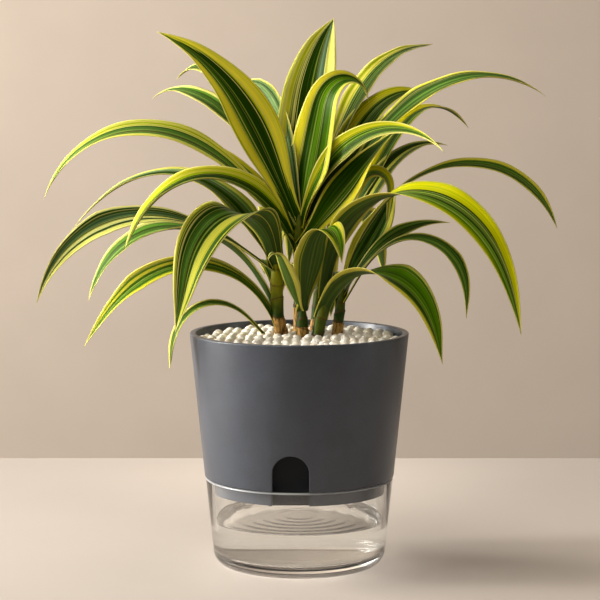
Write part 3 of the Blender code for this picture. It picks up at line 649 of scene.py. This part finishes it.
def leafGrid(key, root, form, draw):
    # across its middle line the blade is a shallow channel with a sunk midrib and softly waved edges
    length, width, rollRoot, rollTip = form[2], *form[8:]
    share, spine, ahead, turn = leafSpine(root, form)
    side = np.stack([np.sin(turn), -np.cos(turn), 0 * share], axis=1)
    up = np.cross(side, ahead)
    roll = np.radians(rollRoot + (rollTip - rollRoot) * smoothStep(share))[:, None]
    across = (side * np.cos(roll) + up * np.sin(roll))[:, None]
    normal = (up * np.cos(roll) - side * np.sin(roll))[:, None]

    base = leafShape["baseShare"]
    widest, taperPower = leafTapers.get(key, (leafShape["widest"], leafShape["taperPower"]))
    swell = base + (1 - base) * smoothStep((share - leafShape["narrowTo"]) / (widest - leafShape["narrowTo"]))
    past = np.clip((share - widest) / (1 - widest), 0, 1)
    half = np.maximum(width / 2 * swell * (1 - past ** taperPower), leafShape["tipHalf"])[:, None]

    t = np.linspace(-1, 1, leafShape["across"])[None] + 0 * half
    lift = half * leafShape["channel"] * (np.abs(t) ** 1.6 - 0.5)
    midrib = leafShape["midribDepth"] * np.exp(-(t / leafShape["midribReach"]) ** 2)
    lift = lift - midrib * np.minimum(1, half / 6)
    waves = share[:, None] * length / leafShape["waveLength"] * math.tau
    calm = smoothStep(share / 0.2)[:, None] * np.minimum(1, half / 8)
    for edge in (-1, 1):
        phase = draw.uniform(0, math.tau)
        ripple = np.sin(waves * draw.uniform(0.8, 1.2) + phase) * np.clip(t * edge, 0, 1) ** 2
        lift = lift + leafShape["waveHeight"] * ripple * calm
    top = spine[:, None] + across * (half * t)[..., None] + normal * lift[..., None]
    thick = leafShape["edgeThick"] + (leafShape["thick"] - leafShape["edgeThick"]) * (1 - t ** 2)
    below = top - normal * np.minimum(thick, 0.25 * half + 0.1)[..., None]
    points = np.concatenate([top, below[:, ::-1]], axis=1)
    under = np.concatenate([0 * t, 0 * t + 1], axis=1)
    t = np.concatenate([t, t[:, ::-1]], axis=1)
    return points, t, share[:, None] + 0 * t, (1 - np.abs(t)) * half, under


def leafBorders(key, band, share, stalkShare):
    # the green fills the stalk nearly to its edges, and draws in or moves to one side towards the tip
    stalk = 1 - smoothStep(share / stalkShare)
    late = smoothStep((share - 1 + leafShape["tipShare"]) / leafShape["tipShare"])
    draw = 1 - leafShape["tipNarrow"] * late
    borders = []
    for side, value in ((-1, band[0]), (1, band[1])):
        full = side * max(leafShape["stalkBorder"], abs(value))
        borders.append((value + (full - value) * stalk) * draw + leafTipShifts.get(key, 0) * late)
    return borders


def leafMaterial():
    # Living dracaena leaf: a waxy skin over fine parallel veins. It gives a satin gloss with a painted
    # blue-grey sheen here and there, green stripes in the middle, and yellow margins edged in cream.
    mat, tree, shader = newMaterial("waxyStripedLeaf", **{"IOR": 1.45, "Specular IOR Level": 0.09,
                                                          "Specular Tint": hexColour("#e0ee90")})
    colours = {key: hexColour(value) for key, value in {
        "darkGreen": "#1c3a00", "lightGreen": "#629600", "midrib": "#9cb53c", "olive": "#a0a800",
        "yellow": "#f2e010", "pale": "#e6e496", "cream": "#e2d87c", "paintedSheen": "#9db3a0",
        "underGreen": "#47592a", "underYellow": "#b5ab42",
    }.items()}
    uv = addNode(tree, "UVMap")
    split = addNode(tree, "SeparateXYZ", {0: uv.outputs[0]})
    across = addNode(tree, "Math", {0: split.outputs[0], 1: 2.0, 2: -1.0},
                     operation="MULTIPLY_ADD").outputs[0]
    along = split.outputs[1]
    parts = []
    for name in ("leafBand", "leafLook", "leafTint", "leafEdge"):
        stored = addNode(tree, "Attribute", attribute_name=name).outputs["Vector"]
        parts.append(addNode(tree, "SeparateXYZ", {0: stored}).outputs)
    fromT, toT, seed = parts[0]
    lightness, yellowness, under = parts[1]
    paleness, paintedSheen, stripeAt = parts[2]
    edgeDistance, stripeHalf, grownAndUnshaded = parts[3]

    # streaks run the whole length: many across the blade, hardly changing along it
    streaks = []
    for acrossScale, alongScale, offset in ((2.8, 0.35, 0.0), (7.5, 0.25, 7.3), (15.0, 0.3, 3.1)):
        x = addNode(tree, "Math", {0: across, 1: acrossScale, 2: offset}, operation="MULTIPLY_ADD").outputs[0]
        y = addNode(tree, "Math", {0: along, 1: alongScale}, operation="MULTIPLY").outputs[0]
        spot = addNode(tree, "CombineXYZ", {0: x, 1: y, 2: seed}).outputs[0]
        streaks.append(addNode(tree, "TexNoise", {"Vector": spot, "Scale": 1.0, "Detail": 1.0}).outputs[0])
    broad, middle, fine = streaks

    # distance inside the green, in half widths, broken into lines by the middle streaks
    insideLow = addNode(tree, "Math", {0: across, 1: fromT}, operation="SUBTRACT").outputs[0]
    insideHigh = addNode(tree, "Math", {0: toT, 1: across}, operation="SUBTRACT").outputs[0]
    clean = addNode(tree, "Math", {0: insideLow, 1: insideHigh}, operation="MINIMUM").outputs[0]
    stripeGap = addNode(tree, "Math", {0: across, 1: stripeAt}, operation="SUBTRACT").outputs[0]
    stripeGap = addNode(tree, "Math", {0: stripeGap}, operation="ABSOLUTE").outputs[0]
    stripeGap = addNode(tree, "Math", {0: stripeGap, 1: stripeHalf}, operation="SUBTRACT").outputs[0]
    clean = addNode(tree, "Math", {0: clean, 1: stripeGap}, operation="MINIMUM").outputs[0]
    inside = addNode(tree, "Math", {0: fine, 1: 0.56, 2: clean}, operation="MULTIPLY_ADD").outputs[0]
    inside = addNode(tree, "Math", {0: inside, 1: 0.28}, operation="SUBTRACT").outputs[0]
    green = addNode(tree, "MapRange", {0: inside, 1: -0.015, 2: 0.015, 3: 0.0, 4: 1.0},
                    interpolation_type="SMOOTHSTEP").outputs[0]

    # margins: olive next to the green, then yellow or pale, softly streaked
    outward = addNode(tree, "MapRange", {0: clean, 1: 0.0, 2: -0.22, 3: 0.58, 4: 1.0}).outputs[0]
    soft = addNode(tree, "MapRange", {0: broad, 1: 0.36, 2: 0.52, 3: 0.55, 4: 1.0}).outputs[0]
    gold = addNode(tree, "Math", {0: outward, 1: soft}, operation="MULTIPLY").outputs[0]
    gold = addNode(tree, "Math", {0: gold, 1: yellowness}, operation="MULTIPLY").outputs[0]
    faint = addNode(tree, "MapRange", {0: fine, 1: 0.4, 2: 0.6, 3: -0.10, 4: 0.10}).outputs[0]
    gold = addNode(tree, "Math", {0: gold, 1: faint}, operation="ADD", use_clamp=True).outputs[0]
    margin = addNode(tree, "Mix", {0: gold, 6: colours["olive"], 7: colours["yellow"]},
                     data_type="RGBA").outputs[2]
    pale = addNode(tree, "MapRange", {0: middle, 1: 0.35, 2: 0.6, 3: 0.0, 4: 1.6}).outputs[0]
    pale = addNode(tree, "Math", {0: pale, 1: paleness}, operation="MULTIPLY", use_clamp=True).outputs[0]
    margin = addNode(tree, "Mix", {0: pale, 6: margin, 7: colours["pale"]}, data_type="RGBA").outputs[2]

    # here and there a green streak runs in the margin
    veil = addNode(tree, "MapRange", {0: middle, 1: 0.42, 2: 0.37, 3: 0.0, 4: 0.55}).outputs[0]
    veil = addNode(tree, "Math", {0: veil, 1: grownAndUnshaded}, operation="MULTIPLY").outputs[0]
    margin = addNode(tree, "Mix", {0: veil, 6: margin, 7: colours["lightGreen"]}, data_type="RGBA").outputs[2]

    # greens: broad light and dark stripes, a pale midrib, and thin cream lines near the margins
    stripe = addNode(tree, "MapRange", {0: broad, 1: 0.36, 2: 0.64, 3: -0.42, 4: 0.42}).outputs[0]
    thin = addNode(tree, "MapRange", {0: middle, 1: 0.3, 2: 0.7, 3: -0.24, 4: 0.24}).outputs[0]
    light = addNode(tree, "Math", {0: stripe, 1: thin}, operation="ADD").outputs[0]
    light = addNode(tree, "Math", {0: light, 1: lightness}, operation="ADD", use_clamp=True).outputs[0]
    # near the root the greens sink to the dark green: painted shade deep in the crown
    light = addNode(tree, "Math", {0: light, 1: grownAndUnshaded}, operation="MULTIPLY").outputs[0]
    greens = addNode(tree, "Mix", {0: light, 6: colours["darkGreen"], 7: colours["lightGreen"]},
                     data_type="RGBA").outputs[2]
    off = addNode(tree, "Math", {0: across}, operation="ABSOLUTE").outputs[0]
    rib = addNode(tree, "MapRange", {0: off, 1: 0.012, 2: 0.035, 3: 0.55, 4: 0.0}).outputs[0]
    near = addNode(tree, "MapRange", {0: clean, 1: 0.12, 2: 0.34, 3: 0.9, 4: 0.25}).outputs[0]
    line = addNode(tree, "MapRange", {0: fine, 1: 0.60, 2: 0.63, 3: 0.0, 4: 0.8}).outputs[0]
    line = addNode(tree, "Math", {0: line, 1: near}, operation="MULTIPLY").outputs[0]
    line = addNode(tree, "Math", {0: line, 1: grownAndUnshaded}, operation="MULTIPLY").outputs[0]
    vein = addNode(tree, "MapRange", {0: fine, 1: 0.44, 2: 0.40, 3: 0.0, 4: 0.75}).outputs[0]
    for amount, over in ((rib, "midrib"), (line, "cream"), (vein, "darkGreen")):
        greens = addNode(tree, "Mix", {0: amount, 6: greens, 7: colours[over]}, data_type="RGBA").outputs[2]
    face = addNode(tree, "Mix", {0: green, 6: margin, 7: greens}, data_type="RGBA").outputs[2]
    # painted sheen: blue-grey highlight streaks painted into the colour of the green
    sheenMask = addNode(tree, "MapRange", {0: broad, 1: 0.40, 2: 0.62, 3: 0.0, 4: 0.6}).outputs[0]
    sheenMask = addNode(tree, "Math", {0: sheenMask, 1: paintedSheen}, operation="MULTIPLY").outputs[0]
    sheenMask = addNode(tree, "Math", {0: sheenMask, 1: green}, operation="MULTIPLY").outputs[0]
    # the cream line on the very edge, about half a millimetre wide
    edge = addNode(tree, "MapRange", {0: edgeDistance, 1: 0.45, 2: 0.95, 3: 0.8, 4: 0.0}).outputs[0]
    edge = addNode(tree, "Math", {0: edge, 1: grownAndUnshaded}, operation="MULTIPLY").outputs[0]
    # the underside is duller and greyer
    dull = addNode(tree, "Mix", {0: green, 6: colours["underYellow"], 7: colours["underGreen"]},
                   data_type="RGBA").outputs[2]
    back = addNode(tree, "Math", {0: under, 1: 0.65}, operation="MULTIPLY").outputs[0]
    for amount, over in ((sheenMask, colours["paintedSheen"]), (edge, colours["cream"]), (back, dull)):
        face = addNode(tree, "Mix", {0: amount, 6: face, 7: over}, data_type="RGBA").outputs[2]
    tree.links.new(face, shader.inputs["Base Color"])

    rough = addNode(tree, "MapRange", {0: middle, 1: 0.3, 2: 0.7, 3: 0.28, 4: 0.42}).outputs[0]
    rough = addNode(tree, "Math", {0: under, 1: 0.16, 2: rough}, operation="MULTIPLY_ADD").outputs[0]
    tree.links.new(rough, shader.inputs["Roughness"])
    ribs = addNode(tree, "Math", {0: middle, 1: 1.4, 2: fine}, operation="MULTIPLY_ADD").outputs[0]
    bump = addNode(tree, "Bump", {"Strength": 0.5, "Distance": 0.0004, "Height": ribs})
    tree.links.new(bump.outputs[0], shader.inputs["Normal"])
    return mat


def buildLeaves(stem, mat):
    draw = np.random.default_rng(leafShape["seed"] + len(stem))
    rows, columns = leafShape["stations"], 2 * leafShape["across"]
    points, faces, uvs = [], [], []
    values = {"leafBand": [], "leafLook": [], "leafTint": [], "leafEdge": []}
    for index, (key, form) in enumerate(leafForms[stem].items()):
        root = np.add(onCane(stem, form[0]), leafRoots.get(key, (0, 0, 0)))
        grid, t, share, edge, under = leafGrid(key, root, form, draw)
        start = index * rows * columns
        faces += (gridQuads(rows, columns) + start).tolist()
        faces.append([start + i for i in reversed(range(columns))])
        faces.append([start + (rows - 1) * columns + i for i in range(columns)])
        points.append(grid.reshape(-1, 3))
        uvs.append(np.stack([(t + 1) / 2, share], axis=-1).reshape(-1, 2))
        own = (-draw.uniform(0.55, 0.8), draw.uniform(0.55, 0.8), draw.uniform(0.1, 0.4),
               draw.uniform(0.4, 0.8), draw.uniform(0, 0.3), draw.uniform(0, 0.3), 2)
        band = leafBands.get(key, own)
        low, high = leafBorders(key, band, share, leafStalks.get(key, leafShape["stalkShare"]))
        # 0 at the root, 1 past the stalk: the stalk has no streaks, cream lines or cream edge, and its greens
        #                                  darken as painted shade
        grownAndUnshaded = smoothStep(share / leafShape["stalkShare"])
        striped = smoothStep((share - leafShape["stripeFrom"]) / 0.2)
        stripeHalf = leafStripes.get(key, leafShape["stripeHalf"]) * striped
        for name, three in (("leafBand", (low, high, draw.uniform(0, 40))),
                            ("leafLook", (band[2], band[3], under)),
                            ("leafTint", (band[4], band[5], band[6])),
                            ("leafEdge", (edge, stripeHalf, grownAndUnshaded))):
            values[name].append(np.stack([value + 0 * share for value in three], axis=-1).reshape(-1, 3))
    piece = meshPiece("leaves_" + stem, np.vstack(points), faces)
    layer = piece.data.uv_layers.new(name="leafUv")
    corner = np.empty(len(piece.data.loops), dtype=np.int32)
    piece.data.loops.foreach_get("vertex_index", corner)
    layer.data.foreach_set("uv", np.vstack(uvs)[corner].astype(np.float32).ravel())
    for name, rowsOfValues in values.items():
        pointAttribute(piece, name, np.vstack(rowsOfValues))
    piece.data.materials.append(mat)
    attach(piece, "root")
    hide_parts(stem)


# Canes

# Radius at the foot, then points of the middle line from the buried end up: the same as in the solids.
canes = {
    "stem_left": (4.9, [(-12, 5, 118), (-12, 5, 158), (-15, 4, 172), (-15.5, 3, 190), (-16, 2, 211)]),
    "stem_front": (4.9, [(2, -0.5, 118), (2, -0.5, 158), (2, -0.5, 181)]),
    "stem_front_right": (4.6, [(12.5, -2, 118), (12.5, -2, 158), (15, -3, 172), (18, -4, 189)]),
    "stem_right": (4.0, [(26, 9, 118), (26, 9, 158), (27.5, 9, 171), (30, 9, 190)]),
    "stem_tall": (4.7, [(0, 17, 118), (0, 17, 158), (0.5, 16, 190), (0, 14, 215), (0, 13, 240)]),
    "stem_back": (4.2, [(11, 28, 118), (11, 28, 158), (13, 29, 178), (17, 30, 212)]),
}
# Height where the bark gives way to green, how yellow the green turns above it (kept low on the canes in the
# crown's shade, as painted shade), heights of the leaf scars.
caneLooks = {
    "stem_left": (170, 1.0, (161, 170, 183, 193, 202)),
    "stem_front": (164, 0.3, (158.5, 163, 169.5)),
    "stem_front_right": (151, 0.3, (160, 170, 179)),
    "stem_right": (166, 0.3, (159, 166, 173, 181)),
    "stem_tall": (176, 0.3, (164, 176, 190, 203, 214, 224)),
    "stem_back": (166, 0.3, (162, 174, 186, 198)),
}
caneShape = {
    "taper": 0.86, "tipLength": 16.0, "sides": 28, "rows": 120,
    "scarHeight": 0.45, "scarReach": 0.8, "scarTilt": 1.4,
    "bark": "#b68e4a", "barkDark": "#40300c", "green": "#243f02", "youngGreen": "#8c8c12", "scar": "#5a3014",
}


def onCane(stem, z):
    points = canes[stem][1]
    heights = [p[2] for p in points]
    return [float(np.interp(z, heights, [p[axis] for p in points])) for axis in (0, 1)] + [float(z)]


def caneMaterial():
    # Dracaena cane: papery tan bark low down, smooth green skin above, ringed by the scars of fallen leaves
    mat, tree, shader = newMaterial("ringedCane", **{"IOR": 1.45, "Roughness": 0.5,
                                                     "Specular IOR Level": 0.2})
    colours = {key: hexColour(caneShape[key]) for key in ("bark", "barkDark", "green", "youngGreen", "scar")}
    place = addNode(tree, "TexCoord").outputs["Object"]
    stretched = addNode(tree, "Mapping", {"Vector": place, "Scale": (1.0, 1.0, 0.22)}).outputs[0]
    grain = addNode(tree, "TexNoise", {"Vector": stretched, "Scale": 700, "Detail": 4,
                                       "Roughness": 0.6}).outputs[0]
    blotch = addNode(tree, "TexNoise", {"Vector": place, "Scale": 190, "Detail": 3}).outputs[0]
    stored = addNode(tree, "Attribute", attribute_name="caneLook").outputs["Vector"]
    woody, scar, youngUnshaded = addNode(tree, "SeparateXYZ", {0: stored}).outputs
    barkShare = addNode(tree, "MapRange", {0: grain, 1: 0.44, 2: 0.62, 3: 0.0, 4: 1.0}).outputs[0]
    bark = addNode(tree, "Mix", {0: barkShare, 6: colours["bark"], 7: colours["barkDark"]},
                   data_type="RGBA").outputs[2]
    # the skin yellows up the young growth; on canes in shade it stays darker, as painted shade
    skin = addNode(tree, "Math", {0: blotch, 1: 0.6, 2: youngUnshaded}, operation="MULTIPLY_ADD").outputs[0]
    skin = addNode(tree, "MapRange", {0: skin, 1: 0.3, 2: 1.2, 3: 0.0, 4: 1.0}).outputs[0]
    skin = addNode(tree, "Mix", {0: skin, 6: colours["green"], 7: colours["youngGreen"]},
                   data_type="RGBA").outputs[2]
    ragged = addNode(tree, "Math", {0: blotch, 1: 0.9, 2: woody}, operation="MULTIPLY_ADD").outputs[0]
    ragged = addNode(tree, "MapRange", {0: ragged, 1: 0.90, 2: 0.98, 3: 0.0, 4: 1.0}).outputs[0]
    body = addNode(tree, "Mix", {0: ragged, 6: skin, 7: bark}, data_type="RGBA").outputs[2]
    body = addNode(tree, "Mix", {0: scar, 6: body, 7: colours["scar"]}, data_type="RGBA").outputs[2]
    tree.links.new(body, shader.inputs["Base Color"])
    bump = addNode(tree, "Bump", {"Strength": 0.5, "Distance": 0.0005, "Height": grain})
    tree.links.new(bump.outputs[0], shader.inputs["Normal"])
    return mat


def buildCane(stem, mat):
    # a round tube along the cane's line, with a low tilted ridge at each leaf scar
    radius, line = canes[stem]
    barkTop, yellowingUnshaded, scars = caneLooks[stem]
    low, high = line[0][2], line[-1][2]
    z = np.linspace(low, high, caneShape["rows"])
    heights = [p[2] for p in line]
    middle = np.stack([np.interp(z, heights, [p[axis] for p in line]) for axis in (0, 1)] + [z], axis=1)
    angle = np.linspace(0, math.tau, caneShape["sides"], endpoint=False)[None]
    taper = (1 + (caneShape["taper"] - 1) * (z - low) / (high - low))[:, None]
    ridge = np.zeros((len(z), caneShape["sides"]))
    darkRing = np.zeros_like(ridge)
    for i, scar in enumerate(scars):
        tilt = caneShape["scarTilt"] * np.cos(angle - 2.4 * i - 1.0)
        off = z[:, None] - scar - tilt
        ridge = ridge + caneShape["scarHeight"] * np.exp(-np.clip(off, 0, None) ** 2 / 0.3) \
            * np.exp(-np.clip(-off, 0, None) / 3.0)
        darkRing = np.maximum(darkRing, np.exp(-((off - 0.2) / (caneShape["scarReach"] * 0.5)) ** 2))
    tip = np.clip((high - z) / caneShape["tipLength"], 0.02, 1)[:, None] ** 0.5
    r = (radius * taper * 0.97 + ridge) * tip
    points = np.stack([middle[:, 0:1] + r * np.cos(angle), middle[:, 1:2] + r * np.sin(angle),
                       z[:, None] + 0 * angle], axis=-1).reshape(-1, 3)
    rows, columns = len(z), caneShape["sides"]
    faces = gridQuads(rows, columns).tolist()
    faces += [list(reversed(range(columns))), [(rows - 1) * columns + i for i in range(columns)]]
    piece = meshPiece("cane_" + stem, points, faces)
    woody = smoothStep(0.5 - (z - barkTop) / 5.0)[:, None] + 0 * angle
    youngUnshaded = yellowingUnshaded * smoothStep((z - barkTop) / 30.0)[:, None] + 0 * angle
    pointAttribute(piece, "caneLook", np.stack([woody, darkRing, youngUnshaded], axis=-1).reshape(-1, 3))
    piece.data.materials.append(mat)
    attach(piece, "root")
    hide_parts(stem)


# Floor, backdrop, lights and camera

studio = {
    "floorColour": "#b6aca2", "wallColour": "#dccdbe",
    "tableFront": -3500.0, "tableBack": 401.0, "width": 8000.0, "wallDistance": 3000.0, "wallHeight": 3500.0,
    "worldColour": "#f6e8d6", "worldStrength": 0.17,
}
# Place and aim in metres, width and height, power, colour and spread of each lamp.
lamps = {
    "windowKey": ((-2.5, -0.36, 1.2), (0, 0, 0.2), (2.0, 1.8), 49.0, "#fffaf3", 180),
    "windowFront": ((-0.9, -1.3, 1.35), (0, 0, 0.25), (1.0, 1.0), 4.5, "#fffaf3", 180),
    "leftEdge": ((-1.25, 0.0, 0.5), (0, 0, 0.12), (0.25, 0.7), 5.8, "#fffcf8", 90),
    "behindPot": ((0.0, 0.28, 0.75), (0.0, 0.33, 0), (0.12, 0.08), 0.08, "#fff8f0", 30),
    "rightFloor": ((0.34, -0.08, 1.2), (0.34, -0.08, 0), (0.2, 0.2), 0.15, "#fff4e6", 30),
    "softFill": ((1.5, -1.4, 0.7), (0, 0, 0.2), (1.4, 1.4), 0.2, "#f6f4ff", 180),
    "frontStrip": ((0.0, -1.9, 1.25), (0, 0, 0.15), (2.4, 0.10), 1.6, "#ffffff", 180),
    "rightStrip": ((1.35, -0.30, 0.35), (0, 0, 0.10), (0.10, 0.9), 1.6, "#ffffff", 180),
    "topLeft": ((-0.42, 0.0, 1.6), (0, 0, 0.1), (0.6, 0.6), 6.0, "#fffaf3", 180),
    "wallWash": ((-2.2, 0.9, 1.4), (0.2, 3.0, 0.1), (1.2, 1.2), 86.0, "#fffaf3", 180),
}
photoCamera = {"place": (0.0, -1.495, 0.3446), "down": 6.19, "lens": 132.0, "shiftX": 0.0012}


def paperMaterial(name, colour):
    # matte painted board: even, very slightly mottled
    mat, tree, shader = newMaterial(name, **{"Roughness": 0.85, "Specular IOR Level": 0.2})
    place = addNode(tree, "TexCoord").outputs["Object"]
    mottle = addNode(tree, "TexNoise", {"Vector": place, "Scale": 6, "Detail": 6}).outputs[0]
    share = addNode(tree, "MapRange", {0: mottle, 1: 0.3, 2: 0.7, 3: 0.0, 4: 1.0}).outputs[0]
    dim = [0.95 * c for c in hexColour(colour)[:3]] + [1.0]
    mixed = addNode(tree, "Mix", {0: share, 6: dim, 7: hexColour(colour)}, data_type="RGBA")
    tree.links.new(mixed.outputs[2], shader.inputs["Base Color"])
    return mat


def buildStage():
    # the table ends close behind the pot, and the wall stands so far back that no view is blocked by it
    wide, front, back = studio["width"] / 2, studio["tableFront"], studio["tableBack"]
    deep, high = studio["wallDistance"], studio["wallHeight"]
    floor = meshPiece("tableTop", [(-wide, front, 0), (wide, front, 0), (wide, back, 0), (-wide, back, 0)],
                      [[0, 1, 2, 3]])
    floor.data.materials.append(paperMaterial("paleBoard", studio["floorColour"]))
    wall = meshPiece("backdrop", [(-wide, deep, -high), (wide, deep, -high), (wide, deep, high),
                                  (-wide, deep, high)], [[0, 1, 2, 3]])
    wall.data.materials.append(paperMaterial("paleWall", studio["wallColour"]))


def buildLight():
    for name, (place, aim, size, power, colour, spread) in lamps.items():
        data = bpy.data.lights.new(name, "AREA")
        data.shape = "RECTANGLE"
        data.size, data.size_y = size
        data.energy = power
        data.color = hexColour(colour)[:3]
        data.spread = math.radians(spread)
        lamp = bpy.data.objects.new(name, data)
        lamp.location = place
        away = np.array(place) - np.array(aim)
        flat = math.hypot(away[0], away[1])
        lamp.rotation_euler = (math.atan2(flat, away[2]), 0.0, math.atan2(away[1], away[0]) + math.pi / 2)
        bpy.context.scene.collection.objects.link(lamp)
    world = bpy.data.worlds.new("softRoom")
    world.use_nodes = True
    background = world.node_tree.nodes["Background"]
    background.inputs["Color"].default_value = hexColour(studio["worldColour"])
    background.inputs["Strength"].default_value = studio["worldStrength"]
    bpy.context.scene.world = world
    bpy.context.scene.view_settings.view_transform = "Standard"


def buildCamera():
    data = bpy.data.cameras.new("photoCamera")
    data.lens = photoCamera["lens"]
    data.sensor_width = 36.0
    data.shift_x = photoCamera["shiftX"]
    data.clip_end = 20.0
    camera = bpy.data.objects.new("photoCamera", data)
    camera.location = photoCamera["place"]
    camera.rotation_euler = (math.radians(90 - photoCamera["down"]), 0, 0)
    bpy.context.scene.collection.objects.link(camera)
    bpy.context.scene.camera = camera


buildCamera()
buildLight()
buildStage()
print("stage and light")
buildGlass()
buildWater()
print("glass and water")
buildPot()
buildSoil()
print("pot and soil")
buildPebbles([(*onCane(stem, 156)[:2], canes[stem][0]) for stem in canes])
print("pebbles")
leafSkin = leafMaterial()
caneSkin = caneMaterial()
for stemName in canes:
    buildLeaves(stemName, leafSkin)
    buildCane(stemName, caneSkin)
print("leaves and canes")
